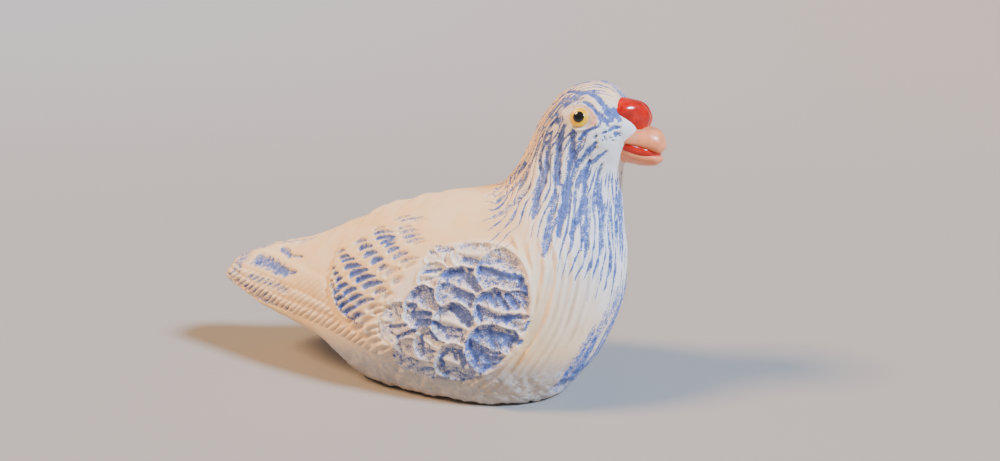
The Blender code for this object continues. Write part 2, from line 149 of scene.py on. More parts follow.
def ovalReach(along, aside, halfLength, halfWidth, power):  # 1 on an oval's rim; more power squares it off
    return (np.abs(along / halfLength) ** power + np.abs(aside / halfWidth) ** power) ** (1.0 / power)


def fromLine(u, v, start, end):  # distance from a line between two places, and the share along it
    runU, runV = end[0] - start[0], end[1] - start[1]
    part = np.clip(((u - start[0]) * runU + (v - start[1]) * runV) / (runU**2 + runV**2), 0.0, 1.0)
    return np.hypot(u - start[0] - part * runU, v - start[1] - part * runV), part


def softNoise(across, down, number):  # smooth random values from -1 to 1, one unit apart
    values = np.random.default_rng(bird["seed"] + number).uniform(-1.0, 1.0, (noiseCells, noiseCells))
    left, top = np.floor(across), np.floor(down)
    u, v = smoothStep(across - left), smoothStep(down - top)
    column, row = left.astype(int) % noiseCells, top.astype(int) % noiseCells
    nextColumn, nextRow = (column + 1) % noiseCells, (row + 1) % noiseCells
    upper = values[column, row] * (1.0 - u) + values[nextColumn, row] * u
    lower = values[column, nextRow] * (1.0 - u) + values[nextColumn, nextRow] * u
    return upper * (1.0 - v) + lower * v


def smoothThrough(rows, at):  # a Catmull-Rom curve through the rows, read at row numbers
    last = len(rows) - 1
    first = np.clip(np.floor(at).astype(int), 0, last - 1)
    part = (at - first)[:, None]
    here, ahead = rows[first], rows[first + 1]
    before, after = rows[np.maximum(first - 1, 0)], rows[np.minimum(first + 2, last)]
    behind = np.where((first > 0)[:, None], before, 2.0 * here - ahead)
    beyond = np.where((first < last - 1)[:, None], after, 2.0 * ahead - here)
    slope = (ahead - behind) * part
    bend = (2.0 * behind - 5.0 * here + 4.0 * ahead - beyond) * part**2
    twist = (3.0 * here - 3.0 * ahead + beyond - behind) * part**3
    return 0.5 * (2.0 * here + slope + bend + twist)


def sectionPoints(sections, at, turns):  # turn 0 is the back, and the right side comes next
    rows = smoothThrough(np.array(sections), at)
    fromStart, fromEnd = at / startRounding, (len(sections) - 1 - at) / endRounding
    inset = 1.0 - np.clip(np.minimum(fromStart, fromEnd), 0.0, 1.0)
    size = np.sqrt(np.clip(1.0 - inset**2, 0.0, 1.0))[:, None]
    back, belly = rows[:, 0:2], rows[:, 2:4]
    middle = 0.5 * (back + belly)
    back, belly = middle + (back - middle) * size, middle + (belly - middle) * size
    halfWidth, level = rows[:, 4:5] * size, rows[:, 5:6]
    upright, sideways = np.cos(turns)[None, :], np.sin(turns)[None, :]
    power = 2.0 / np.where(upright > 0.0, rows[:, 6:7], rows[:, 7:8])
    climb = np.sign(upright) * np.abs(upright) ** power
    height = level + climb * np.where(upright > 0.0, 1.0 - level, level)
    x = belly[:, 0:1] + (back - belly)[:, 0:1] * height
    y = -halfWidth * np.sign(sideways) * np.abs(sideways) ** power
    z = belly[:, 1:2] + (back - belly)[:, 1:2] * height
    return np.stack([x, y, z], axis=-1)


def evenSections(sections, count):  # section numbers that lie evenly along the form
    fine = np.linspace(0.0, len(sections) - 1.0, spacingSamples)
    points = sectionPoints(sections, fine, np.linspace(0.0, 2.0 * math.pi, spacingSides))
    steps = np.linalg.norm(np.diff(points, axis=0), axis=2).mean(axis=1)
    run = np.concatenate([[0.0], np.cumsum(steps)])
    return np.interp(np.linspace(0.0, run[-1], count), run, fine)


def evenTurns(count):
    return np.arange(count) * 2.0 * math.pi / count


def gridNormals(points):  # outward unit normals of a grid of closed rings
    along = np.gradient(points, axis=0)
    around = np.roll(points, -1, axis=1) - np.roll(points, 1, axis=1)
    normals = np.cross(around, along)
    return normals / np.maximum(np.linalg.norm(normals, axis=2, keepdims=True), 1e-12)


def onGrid(field):  # a grid of values in the order of gridMesh's vertices
    return np.concatenate([field[0, :1], field[1:-1].reshape(-1, *field.shape[2:]), field[-1, :1]])


def gridMesh(name, points):  # a closed mesh over rings whose first and last are each one point
    rings, sides = points.shape[:2]
    ring, side = np.meshgrid(np.arange(rings - 3), np.arange(sides), indexing="ij")
    near, far = 1 + ring * sides + side, 1 + ring * sides + (side + 1) % sides
    quads = np.stack([near, far, far + sides, near + sides], axis=-1).reshape(-1, 4)
    lastRing, lastPoint = 1 + (rings - 3) * sides, 1 + (rings - 2) * sides
    start = [(0, 1 + (s + 1) % sides, 1 + s) for s in range(sides)]
    end = [(lastRing + s, lastRing + (s + 1) % sides, lastPoint) for s in range(sides)]
    mesh = bpy.data.meshes.new(name)
    mesh.from_pydata(onGrid(points).tolist(), [], quads.tolist() + start + end)
    mesh.validate()
    return mesh


# The feathers are laid out on the unrolled flank: x, and girth down from the back, in mm.
# A pair for rises or falls holds a start or an end, and a width.
wing = {
    "rowDirection": 42.0,  # degrees
    "lowerEdge": 55.7,  # across the rows
    "rearEdge": -41.5,
    "corner": 9.0,
    "edgeWidth": 1.3,
    "step": 0.95,  # mm over the tail
    "frontFade": (5.0, 24.5),
    "backFade": (13.0, 8.0),
    "bow": 0.25,  # mm that a stroke arches up
    "blueShare": 0.86,  # share of the gap between strokes that holds blue
    # along a stroke, in shares of its length from the rear end
    "rearEnd": (-0.12, 0.12),
    "frontEnd": (1.18, 0.25),
    "narrowing": (0.3, 0.85),
    "shallowing": (0.3, 0.8),
    "taper": 0.7,  # share of its width and of its depth that a stroke loses to the front
    "swellFrom": (-0.16, 0.2),
    "swellTo": (0.35, 1.0),
}
# Rows of strokes from the back down: rear end x and girth, front end x and girth, blue
wingRows = (
    ((-22.3, 14.8, -15.9, 15.6, 0.6), (-19.1, 17.1, -10.2, 18.1, 0.7), (-15.0, 18.6, -8.6, 19.3, 0.6)),
    ((-17.9, 20.6, -12.9, 21.3, 0.6), (-17.0, 22.4, -10.3, 23.3, 0.65), (-15.3, 24.7, -8.9, 24.9, 0.65),
     (-13.5, 26.6, -7.2, 26.5, 0.6), (-11.2, 27.7, -5.2, 27.9, 0.3)),
    ((-28.3, 17.1, -23.6, 18.3, 0.6), (-26.8, 19.5, -19.4, 21.6, 0.95), (-25.1, 22.1, -17.8, 23.8, 1.05),
     (-22.7, 24.4, -17.4, 24.7, 1.0), (-20.9, 26.1, -16.9, 26.0, 1.0), (-19.4, 28.1, -15.1, 28.0, 1.0),
     (-16.8, 30.6, -11.9, 30.1, 0.75), (-14.0, 32.7, -7.9, 32.3, 0.5), (-12.1, 34.5, -6.5, 34.0, 0.1)),
    ((-33.8, 19.7, -28.9, 21.2, 0.8), (-31.3, 23.0, -25.5, 24.7, 0.95), (-28.0, 26.6, -22.7, 27.7, 1.1),
     (-24.7, 29.9, -20.1, 30.2, 1.1), (-21.3, 33.1, -17.2, 33.3, 0.6), (-18.4, 35.3, -13.5, 34.6, 0.4),
     (-15.6, 38.2, -11.0, 37.7, 0.3), (-12.7, 40.1, -8.6, 39.2, 0.1)),
    ((-40.4, 20.5, -36.8, 21.3, 0.6), (-38.4, 23.2, -33.8, 24.6, 1.0), (-36.7, 25.0, -31.4, 26.5, 1.1),
     (-35.0, 27.8, -28.1, 29.9, 1.2), (-32.1, 31.4, -25.3, 32.2, 1.2), (-29.1, 34.3, -22.1, 34.9, 1.2),
     (-26.1, 37.0, -18.4, 37.5, 1.1), (-21.7, 39.9, -16.5, 40.0, 0.65), (-18.3, 42.0, -14.1, 41.5, 0.1),
     (-15.9, 44.2, -11.5, 43.4, 0.0)),
    ((-42.2, 23.9, -40.5, 24.2, 0.4), (-40.9, 26.0, -38.6, 26.5, 0.6), (-39.4, 28.4, -36.9, 29.0, 0.8),
     (-37.7, 31.0, -34.9, 31.3, 1.1), (-36.3, 33.6, -31.7, 34.5, 1.2), (-33.4, 36.5, -28.4, 36.9, 1.2),
     (-30.9, 39.4, -25.5, 39.7, 1.1), (-28.0, 41.7, -21.3, 41.9, 0.85), (-23.6, 44.4, -18.3, 44.2, 0.3),
     (-21.3, 46.0, -16.3, 46.1, 0.0)),
    ((-40.0, 30.5, -38.5, 30.5, 0.5), (-39.1, 32.5, -37.5, 32.5, 0.6), (-37.9, 35.0, -34.7, 34.9, 0.8),
     (-36.5, 37.3, -32.1, 38.1, 1.0), (-34.4, 40.1, -30.4, 40.1, 1.0), (-32.3, 42.6, -27.4, 42.7, 1.0),
     (-29.2, 45.4, -24.0, 45.6, 0.8), (-26.1, 48.3, -20.9, 47.3, 0.25), (-23.7, 50.6, -17.2, 50.1, 0.1),
     (-20.0, 51.8, -15.1, 51.6, 0.0)),
    ((-31.4, 46.5, -27.8, 46.3, 0.1), (-28.8, 49.1, -22.9, 49.2, 0.0), (-25.5, 52.7, -19.1, 52.0, 0.0),
     (-23.8, 54.8, -16.1, 54.3, 0.0), (-21.4, 58.0, -14.9, 56.7, 0.0), (-18.5, 60.1, -13.8, 58.5, 0.0)),
)
rowDepths = (0.6, 0.65, 0.85, 0.95, 1.0, 1.0, 1.0, 1.2)
rowSwells = (0.0, 0.05, 0.15, 0.2, 0.25, 0.3, 0.55, 0.6)  # mm, how high the rear ends of the ridges swell


def wingInset(x, girth):  # how far inside the folded wing's rear and lower edge a point lies
    fromRear = x - wing["rearEdge"]
    fromEdge = wing["lowerEdge"] - alongAxis(x, girth, axisAt(wing["rowDirection"]))[1]
    gap = np.maximum(wing["corner"] - np.abs(fromRear - fromEdge), 0.0)
    return np.minimum(fromRear, fromEdge) - gap**2 / (4.0 * wing["corner"])


def layRows(x, girth, form, cut, blue):  # the folded wing's strokes: a steep round rear end, a tapering front
    for row, strokes in enumerate(wingRows):
        rears, fronts = np.array(strokes)[:, 0:2], np.array(strokes)[:, 2:4]
        runs = (fronts - rears) / np.linalg.norm(fronts - rears, axis=1, keepdims=True)
        steps = np.gradient(rears, axis=0)
        gaps = np.abs(runs[:, 0] * steps[:, 1] - runs[:, 1] * steps[:, 0])
        for number, (rearX, rearGirth, frontX, frontGirth, blueness) in enumerate(strokes):
            length, halfWidth = math.hypot(frontX - rearX, frontGirth - rearGirth), 0.5 * gaps[number]
            near = np.hypot(x - 0.5 * (rearX + frontX), girth - 0.5 * (rearGirth + frontGirth)) < length + 1.0
            along, aside = alongAxis(x[near] - rearX, girth[near] - rearGirth, runs[number])
            along = along / length
            aside = np.abs(aside + wing["bow"] * np.sin(math.pi * np.clip(along, 0.0, 1.0)))
            blunt = np.sqrt(np.clip((along + 0.08) / 0.2, 0.01, 1.0))
            shape = blunt * (1.0 - wing["taper"] * rises(along, *wing["narrowing"]))
            ends = rises(along, *wing["rearEnd"]) * falls(along, *wing["frontEnd"])
            valley = np.cos(0.5 * math.pi * np.clip(aside / (1.12 * halfWidth * shape), 0.0, 1.0))
            deep = valley * ends * (1.0 - wing["taper"] * rises(along, *wing["shallowing"]))
            cut[near] = np.maximum(cut[near], rowDepths[row] * deep)
            brushed = smoothStep(1.5 - aside / (wing["blueShare"] * halfWidth * shape)) * ends
            blue[near] = np.maximum(blue[near], blueness * brushed)
            if number:  # the ridge between two strokes swells at its rear end
                middleX, middleGirth = 0.5 * (rears[number] + rears[number - 1])
                along, aside = alongAxis(x[near] - middleX, girth[near] - middleGirth, runs[number])
                along = along / length
                swell = rises(along, *wing["swellFrom"]) * (1.0 - rises(along, *wing["swellTo"]))
                form[near] += rowSwells[row] * swell * ridge(aside, 1.25 * halfWidth)


def layDabs(x, girth, dabs, brush, cut, blue, seed):  # short brushed hollows with ragged edges
    for startX, startGirth, endX, endGirth, width, blueness in dabs:
        reach = 0.5 * math.hypot(endX - startX, endGirth - startGirth) + width + 0.6
        near = np.hypot(x - 0.5 * (startX + endX), girth - 0.5 * (startGirth + endGirth)) < reach
        u, v = x[near], girth[near]
        distance, part = fromLine(u, v, (startX, startGirth), (endX, endGirth))
        ragged = 1.0 + 0.28 * softNoise(u * 1.1, v * 1.1, seed) - 0.25 * rises(part, 0.5, 0.5)
        distance = distance / (0.5 * brush["dabSpread"] * width * ragged)
        cut[near] = np.maximum(cut[near], brush["dabDepth"] * smoothStep(1.45 - distance))
        faded = smoothStep((1.0 + 0.5 * brush["dabSoft"] - distance) / brush["dabSoft"])
        blue[near] = np.maximum(blue[near], blueness * faded)


# A covert feather: x and girth of its middle, length, width, slope of its shaft in degrees,
# and how much blue is speckled over its upper and its lower half.
covertFeathers = (
    (-11.9, 50.3, 13.8, 11.8, 18.0, 0.40, 0.30),
    (-7.2, 61.2, 15.8, 10.4, 30.0, 0.42, 0.46),
    (-0.6, 33.0, 9.4, 6.6, 13.0, 0.36, 0.20),
    (-2.0, 38.9, 9.4, 8.0, 15.0, 0.30, 0.36),
    (-4.7, 46.9, 11.8, 11.6, 26.0, 0.62, 0.46),
    (-2.2, 57.4, 10.2, 9.2, 38.0, 0.52, 0.48),
    (8.8, 33.3, 12.0, 7.8, 16.0, 0.36, 0.40),
    (6.6, 42.6, 13.4, 11.0, 22.0, 0.62, 0.60),
    (5.2, 52.3, 12.4, 10.4, 20.0, 0.54, 0.52),
    (5.8, 63.9, 13.0, 10.6, 20.0, 0.50, 0.46),
    (18.9, 40.3, 15.6, 10.8, 27.0, 0.46, 0.52),
    (19.1, 50.5, 16.0, 10.8, 23.0, 0.58, 0.64),
    (16.5, 60.8, 15.4, 13.2, 31.0, 0.66, 0.74),
)
# Dabs of the brush in the coverts' hollows: x and girth of both ends, width in mm, blue
covertDabs = (
    (5.8, 30.4, 10.1, 31.1, 1.3, 0.55), (11.6, 31.7, 13.5, 31.7, 0.8, 0.35),
    (-4.5, 31.3, -2.2, 32.3, 1.3, 0.6), (-1.7, 30.8, 2.7, 31.4, 1.6, 0.65), (0.6, 32.7, 0.9, 34.9, 1.0, 0.45),
    (4.8, 32.9, 6.4, 33.5, 0.7, 0.5), (6.6, 34.4, 12.1, 36.1, 1.7, 1), (8.0, 35.6, 12.2, 37.4, 0.8, 0.4),
    (13.4, 36.4, 18.4, 37.0, 1.6, 0.8), (14.4, 35.0, 23.0, 39.8, 1.1, 0.45),
    (18.0, 38.2, 22.1, 40.5, 1.0, 0.3), (12.5, 38.4, 18.4, 40.9, 2.3, 1.2),
    (18.0, 40.7, 23.6, 43.2, 2.0, 1.2), (23.5, 42.9, 25.7, 48.1, 1.7, 1.1),
    (18.5, 41.9, 15.0, 42.3, 1.6, 0.6), (14.4, 42.2, 17.4, 43.1, 1.0, 0.35),
    (18.5, 43.3, 24.1, 46.3, 1.9, 0.3), (-5.4, 36.9, -0.2, 36.8, 1.1, 0.95),
    (-4.7, 39.2, 0.1, 38.7, 0.8, 0.7), (-3.4, 40.2, -0.6, 41.0, 0.6, 0.3), (1.4, 38.1, 5.2, 38.1, 2.3, 1.1),
    (5.5, 38.0, 11.5, 41.6, 2.4, 1.1), (8.0, 39.5, 11.8, 43.9, 1.7, 1), (1.3, 41.3, 4.9, 42.0, 1.3, 1),
    (1.9, 43.3, 3.9, 44.0, 1.0, 0.5), (5.1, 42.9, 11.8, 46.3, 2.0, 1.15), (3.8, 43.6, 8.7, 45.7, 1.9, 0.85),
    (9.5, 47.7, 11.3, 48.1, 1.0, 0.7), (-8.7, 43.4, -6.1, 42.0, 1.9, 0.8), (-6.1, 42.0, -1.0, 46.1, 1.9, 0.8),
    (-8.2, 43.1, -2.8, 44.8, 1.3, 0.6), (-2.8, 45.1, -0.4, 48.1, 1.1, 0.8),
    (-9.4, 45.6, -7.0, 46.1, 1.6, 0.95), (-8.2, 48.3, -2.3, 49.1, 1.8, 1.15),
    (-6.5, 51.1, -1.1, 51.4, 2.0, 1.2), (-8.7, 48.9, -5.4, 52.1, 0.8, 0.8), (0.9, 48.5, 4.9, 47.2, 1.6, 0.8),
    (4.6, 47.9, 10.4, 51.3, 2.6, 1.15), (6.0, 49.2, 9.7, 53.0, 1.9, 1.1), (0.2, 49.1, 0.9, 51.2, 1.1, 0.6),
    (-0.2, 51.8, 1.7, 53.8, 1.3, 1), (1.7, 53.5, 7.4, 54.5, 1.5, 1), (2.9, 55.9, 6.2, 56.3, 1.3, 0.95),
    (0.8, 53.1, 3.7, 55.9, 1.0, 0.9), (12.7, 46.1, 15.2, 45.4, 1.6, 1), (15.2, 45.4, 17.4, 48.8, 1.6, 1.1),
    (17.6, 45.9, 20.6, 50.3, 1.6, 1.1), (20.4, 46.7, 23.4, 50.7, 1.5, 1.05),
    (23.5, 47.8, 25.8, 49.3, 1.0, 0.6), (13.2, 47.0, 14.7, 48.0, 1.0, 0.5),
    (12.3, 48.3, 13.3, 52.2, 1.5, 1.1), (13.3, 49.4, 18.7, 52.7, 1.9, 0.8),
    (18.4, 52.9, 20.3, 52.0, 1.3, 1.1), (19.4, 52.9, 23.5, 53.2, 1.9, 1.1),
    (23.6, 53.4, 26.3, 54.0, 1.3, 0.7), (16.1, 53.7, 21.4, 56.9, 1.3, 0.5),
    (26.3, 55.4, 25.2, 57.2, 0.8, 0.9), (21.5, 54.4, 24.5, 57.1, 1.9, 0.35),
    (10.3, 57.6, 12.0, 55.1, 1.9, 1.1), (12.0, 55.1, 15.7, 54.7, 1.3, 0.8),
    (11.8, 56.0, 16.1, 56.1, 2.6, 0.7), (15.8, 56.2, 18.7, 58.0, 2.6, 1.15),
    (18.4, 57.1, 23.9, 60.1, 1.9, 1.2), (16.3, 58.2, 17.2, 60.2, 1.6, 1.1),
    (19.8, 59.2, 21.6, 61.5, 1.3, 0.9), (9.7, 58.4, 11.6, 63.6, 1.9, 1.15), (11.7, 58.5, 14.6, 61.3, 2.3, 1),
    (12.6, 61.0, 15.8, 64.7, 2.6, 1), (14.3, 60.4, 18.5, 62.3, 1.6, 0.8), (15.2, 63.9, 19.0, 64.0, 1.6, 0.8),
    (14.1, 65.9, 17.2, 65.6, 1.3, 0.9), (-4.7, 54.6, -2.0, 54.3, 1.1, 0.8), (-2.5, 54.0, 0.6, 57.2, 1.5, 1),
    (-5.1, 55.3, -4.7, 59.2, 1.3, 0.95), (-4.6, 59.8, -1.2, 60.2, 1.3, 0.85),
    (-3.9, 57.2, -2.4, 58.3, 1.0, 0.5), (0.1, 57.2, 1.6, 58.3, 1.0, 0.7), (0.9, 62.2, 1.3, 65.6, 1.5, 1),
    (1.2, 61.4, 3.5, 59.4, 1.3, 0.9), (2.3, 59.9, 6.1, 60.1, 1.0, 0.8), (4.5, 60.4, 5.8, 63.1, 1.1, 1),
    (7.0, 60.7, 7.8, 64.9, 1.5, 1.1), (8.4, 61.3, 8.6, 64.6, 0.8, 0.7), (9.3, 64.0, 10.7, 66.8, 1.1, 0.8),
    (1.6, 67.2, 2.6, 68.2, 1.0, 0.8), (4.6, 66.7, 7.0, 68.0, 1.0, 0.7), (-16.4, 45.1, -15.4, 45.9, 0.8, 0.55),
    (-12.5, 44.6, -11.3, 46.4, 1.3, 0.45), (-11.3, 47.0, -9.8, 47.5, 1.0, 0.3),
    (-17.2, 49.4, -12.2, 49.5, 0.8, 0.55), (-15.7, 50.9, -9.5, 51.1, 1.2, 0.9),
    (-13.4, 54.5, -6.3, 52.7, 1.5, 0.95), (-15.6, 52.5, -13.4, 54.5, 0.6, 0.6),
    (-12.7, 57.9, -11.0, 59.6, 0.8, 0.5), (-10.0, 57.7, -7.8, 58.4, 1.0, 0.45),
    (-13.1, 61.4, -10.1, 64.6, 0.6, 0.4), (-6.7, 65.7, -2.0, 65.4, 1.5, 0.85),
    (-9.2, 61.3, -6.9, 62.6, 0.8, 0.3), (12.5, 67.5, 14.1, 65.9, 0.6, 0.9),
    (-1.9, 68.0, 5.8, 70.2, 0.9, 0.75), (5.8, 70.2, 12.6, 68.6, 1.0, 0.75),
)
covert = {
    "centre": (5.4, 49.5),
    "radii": (22.6, 20.8),
    "edge": 2.0,
    "rise": 0.7,
    "rimHeight": 0.6,  # mm, the smooth rim along the front
    "rimInset": 0.75,
    "rimWidth": 1.1,
    "leafPower": 2.3,  # how square a leaf is
    "leafWobble": 0.05,
    "leafRim": 0.6,
    "leafRimAt": (1.07, 0.08),  # where the rim lies and its half width, in shares of the leaf
    "dish": 0.65,
    "dishTo": (1.05, 0.09),
    "speckledTo": (1.09, 0.07),
    "leafEnd": 1.12,
    "plainTop": (28.5, 9.0),  # the girth over which the leaves come out of the smooth top
    "shaft": 0.7,
    "shaftWidth": 0.75,
    "shaftBend": 0.25,  # mm
    "barbDepth": 0.2,
    "speckle": 1.14,  # how much of the blue speckle the dry brush left
    "barbStreaks": 0.45,  # how much the barbs show in the speckle
    "dabDepth": 0.6,  # share of the wing's stroke depth
    "dabSpread": 1.15,
    "dabSoft": 0.9,  # 1 fades evenly from the middle out
}


def layCoverts(x, girth, form, cut, blue):  # the patch of leaf-shaped feathers over the flank
    (centreX, centreGirth), (radiusX, radiusGirth) = covert["centre"], covert["radii"]
    across, down = (x - centreX) / radiusX, (girth - centreGirth) / radiusGirth
    radius = np.hypot(across, down)
    inside = (1.0 - radius) * min(covert["radii"])
    front = smoothStep(across / np.maximum(radius, 0.1) * 1.4 + 0.25)
    grown = inside.copy()
    for middleX, middleGirth, length, width, slope, *_ in covertFeathers:
        along, aside = alongAxis(x - middleX, girth - middleGirth, axisAt(slope))
        reach = np.hypot(along / (0.5 * length), aside / (0.5 * width))
        grown = np.maximum(grown, (covert["leafEnd"] - reach) * 0.5 * width - 30.0 * front)
    patch = covert["rise"] * smoothStep(grown / (covert["edge"] - 0.8 * front))
    patch += covert["rimHeight"] * front * ridge(inside - covert["rimInset"], covert["rimWidth"])
    offRim = 1.0 - front * falls(inside, covert["rimInset"] + 0.75, 0.5)
    onPatch = smoothStep(grown / covert["edge"] + 0.3)
    cut *= 1.0 - onPatch
    form *= 1.0 - onPatch
    form += patch
    for number, (middleX, middleGirth, length, width, slope, upper, lower) in enumerate(covertFeathers):
        near = (np.abs(x - middleX) < 0.8 * length) & (np.abs(girth - middleGirth) < 0.9 * width)
        offX, offGirth = x[near] - middleX, girth[near] - middleGirth
        wobble = covert["leafWobble"] * softNoise(offX * 0.5 + 9.0 * number, offGirth * 0.5, 20)
        along, aside = alongAxis(offX, offGirth, axisAt(slope))
        aside = aside + covert["shaftBend"] * np.sin(along * 0.5 + number)
        reach = ovalReach(along, aside, 0.5 * length, 0.5 * width, covert["leafPower"]) + wobble
        dish = falls(reach, *covert["dishTo"])
        rim = ridge(reach - covert["leafRimAt"][0], covert["leafRimAt"][1])
        rootward = smoothStep(along / (0.5 * length) * 0.5 + 0.5)  # 0 at the tip, 1 at the root
        shaftLine = np.exp(-((aside / covert["shaftWidth"]) ** 2)) * dish
        leaf = covert["rise"] + covert["leafRim"] * rim * (1.0 - 0.5 * rootward) - covert["dish"] * dish
        leaf += covert["shaft"] * shaftLine
        barbs = softNoise((along + 1.1 * np.abs(aside)) * 1.5, aside * 0.3 + 9.0 * number, 40)
        speckled = covert["speckle"] * np.where(aside < 0.0, upper, lower)
        speckled = speckled * falls(reach, *covert["speckledTo"])
        speckled = speckled * (1.0 + covert["barbStreaks"] * barbs) - 0.5 * shaftLine
        inLeaf = reach < covert["leafEnd"]
        weight = np.where(inLeaf, offRim[near] * rises(girth[near], *covert["plainTop"]), 0.0)
        form[near] = form[near] * (1.0 - weight) + leaf * onPatch[near] * weight
        cut[near] = np.where(inLeaf, covert["barbDepth"] * dish * np.maximum(barbs, 0.0), cut[near])
        blue[near] = np.where(inLeaf, np.maximum(speckled, 0.0), blue[near])
    blue *= offRim
    layDabs(x, girth, covertDabs, covert, cut, blue, 60)
    return onPatch


# The tail's long feathers: x, then girth of the line between one feather and the next
tailLines = {
    "x": (-95.0, -86.0, -79.0, -69.0, -59.0, -49.0, -40.0, -32.0, -25.0, -18.0),
    "hollowTop": (0.0, 1.4, 3.0, 8.9, 16.0, 23.2, 29.7, 35.0, 39.0, 43.0),
    "secondTop": (2.0, 9.3, 12.8, 18.0, 24.2, 31.0, 37.6, 43.0, 48.0, 52.0),
    "ropeTop": (3.5, 11.2, 16.2, 22.4, 28.6, 34.9, 40.9, 46.9, 51.6, 56.4),
    "ropeFoot": (5.5, 14.5, 20.0, 26.4, 32.7, 38.9, 45.2, 51.3, 56.6, 61.2),
}
tail = {
    "feathers": (  # the line above, the line below, how strongly barbed
        ("hollowTop", "secondTop", 0.35),
        ("secondTop", "ropeTop", 0.75),
        ("ropeTop", "ropeFoot", 1.0),
    ),
    "groove": 0.75,  # mm between two feathers
    "hollow": 0.55,  # mm, the hollow feathers of the upper side
    "hollowEnd": (-62.0, 10.0),
    "pitch": 2.25,  # mm from barb to barb
    "rise": 18.0,  # degrees
    "tipFade": (-92.5, 5.0),
    "end": (6.6, 1.2),  # section numbers
    "swell": 1.5,  # mm, the full upper side of the tip
    "swellWidth": 15.0,
    "swellFront": (-60.0, 20.0),
    "swellRear": (-94.0, 6.0),
    "spine": 0.35,  # mm, the ridge along the back
    "spineFront": (-44.0, 10.0),
    "spineRear": (-84.0, 8.0),
    "dabDepth": 0.45,
    "dabSpread": 1.3,
    "dabSoft": 1.7,
    "washTo": -78.0,
    "washLevel": 0.58,
}
# Blue on the tail, drawn as the coverts' dabs
tailDabs = (
    (-77.9, 8.9, -70.6, 12.9, 3.2, 1), (-71.3, 12.3, -61.4, 19.0, 2.9, 1.1),
    (-62.1, 18.3, -56.8, 20.3, 1.4, 0.8), (-68.9, 6.6, -63.2, 11.5, 1.6, 0.9),
    (-63.6, 11.2, -57.2, 14.2, 0.8, 0.8), (-73.1, 1.2, -61.8, 3.4, 2.6, 0.6),
    (-63.0, 5.2, -57.5, 4.0, 2.2, 0.55), (-87.3, 10.3, -85.2, 3.2, 5.4, 0.7),
    (-86.3, 1.7, -74.1, 1.6, 3.4, 0.7), (-79.4, 14.9, -74.2, 16.8, 1.4, 0.9),
    (-74.2, 17.3, -58.6, 26.1, 2.0, 0.7), (-85.0, 14.6, -63.8, 28.2, 2.0, 0.6),
    (-77.7, 21.4, -56.5, 33.1, 1.2, 0.7), (-37.8, 33.3, -36.7, 37.0, 0.7, 1),
    (-36.7, 37.0, -35.0, 40.0, 0.9, 1.1), (-35.0, 40.0, -31.8, 43.4, 0.9, 1.1),
    (-31.8, 43.4, -29.5, 45.6, 0.8, 1), (-29.5, 45.6, -26.7, 47.8, 0.6, 0.9),
)


def layTail(x, girth, at, form, cut, rope, ropePhase, blue):  # long feathers, the outer ones barbed
    lines = {name: np.interp(x, tailLines["x"], tailLines[name]) for name in tailLines if name != "x"}
    fade = rises(x, *tail["tipFade"]) * falls(at, *tail["end"])
    fade = fade * falls(wingInset(x, girth), 0.0, wing["edgeWidth"])
    fine = softNoise(x * 0.35, girth * 0.35, 90)
    ropePhase += alongAxis(girth, x, axisAt(tail["rise"]))[0] / tail["pitch"] + 0.14 * fine
    for top, foot, barbed in tail["feathers"]:
        halfWidth = np.maximum(0.5 * (lines[foot] - lines[top]), 0.3)
        across = (girth - lines[top]) / halfWidth - 1.0
        form += fade * tail["groove"] * ridge(across, 1.02) ** 0.42
        rope += (np.abs(across) < 1.0) * fade * barbed * ridge(across, 1.05) ** 0.3
    upper, lower = lines["hollowTop"], lines["secondTop"]
    across = (girth - 0.5 * (upper + lower)) / np.maximum(0.5 * (lower - upper), 0.5)
    nearWing = rises(x, *tail["hollowEnd"])
    form -= fade * tail["hollow"] * ridge(across, 0.8) * (1.0 - nearWing)
    rope *= np.where(np.abs(across) < 1.0, nearWing, 1.0)
    swell = tail["swell"] * falls(x, *tail["swellFront"])
    form += swell * ridge(girth, tail["swellWidth"]) * rises(x, *tail["swellRear"])
    spine = ridge(girth / np.maximum(upper, 0.5) - 0.55, 0.5)
    form += fade * tail["spine"] * spine * falls(x, *tail["spineFront"]) * rises(x, *tail["spineRear"])
    layDabs(x, girth, tailDabs, tail, cut, blue, 95)
    # a thin wash over the tip and down its upper side
    thin = smoothStep((tail["washTo"] - x + 5.0 * fine) / 12.0) * falls(girth, lower + 6.0, 5.0)
    np.maximum(blue, tail["washLevel"] * thin, out=blue)


back = {
    # feather tips that show as notches along the back: x, height in mm
    "notches": ((-46.0, 0.5), (-34.0, 1.0), (-28.5, 0.95), (-19.0, 0.8), (-11.0, 0.4)),
    "slant": 0.3,  # mm forward for each mm of girth
    "tipStep": 0.7,
    "tipEnd": (8.5, 8.0),
    "tipWidth": 15.0,
}


def layBack(x, girth, form):
    for tipX, rise in back["notches"]:
        along = x - tipX + back["slant"] * girth
        tip = rise * smoothStep(along / back["tipStep"]) * falls(along, *back["tipEnd"])
        form += tip * ridge(girth, back["tipWidth"])


eye = {
    "at": (36.0, 83.4),
    "diameter": 5.4,
    "rise": 0.7,
    "pupil": 3.1,
    "pupilRise": 1.1,
    "pupilStep": 0.15,
    "rings": (18, 12),  # of the ball and of the pupil
    "sides": 48,
    "lidRadii": (5.2, 3.5),
    "lidTilt": -14.0,  # degrees
    "lidPoint": 1.5,  # 1 is a lozenge, 2 an oval
    "lidWidth": 0.2,
    "lidRise": 0.5,
    "lidEnd": (1.1, 0.14),
    "fleshFrom": (0.8, 2.2),  # mm in front of the eye's middle
}


def lidReach(x, z):  # 1 on the line of the eyelids
    along, upright = alongAxis(x - eye["at"][0], z - eye["at"][1], axisAt(eye["lidTilt"]))
    return ovalReach(along, upright, *eye["lidRadii"], eye["lidPoint"])


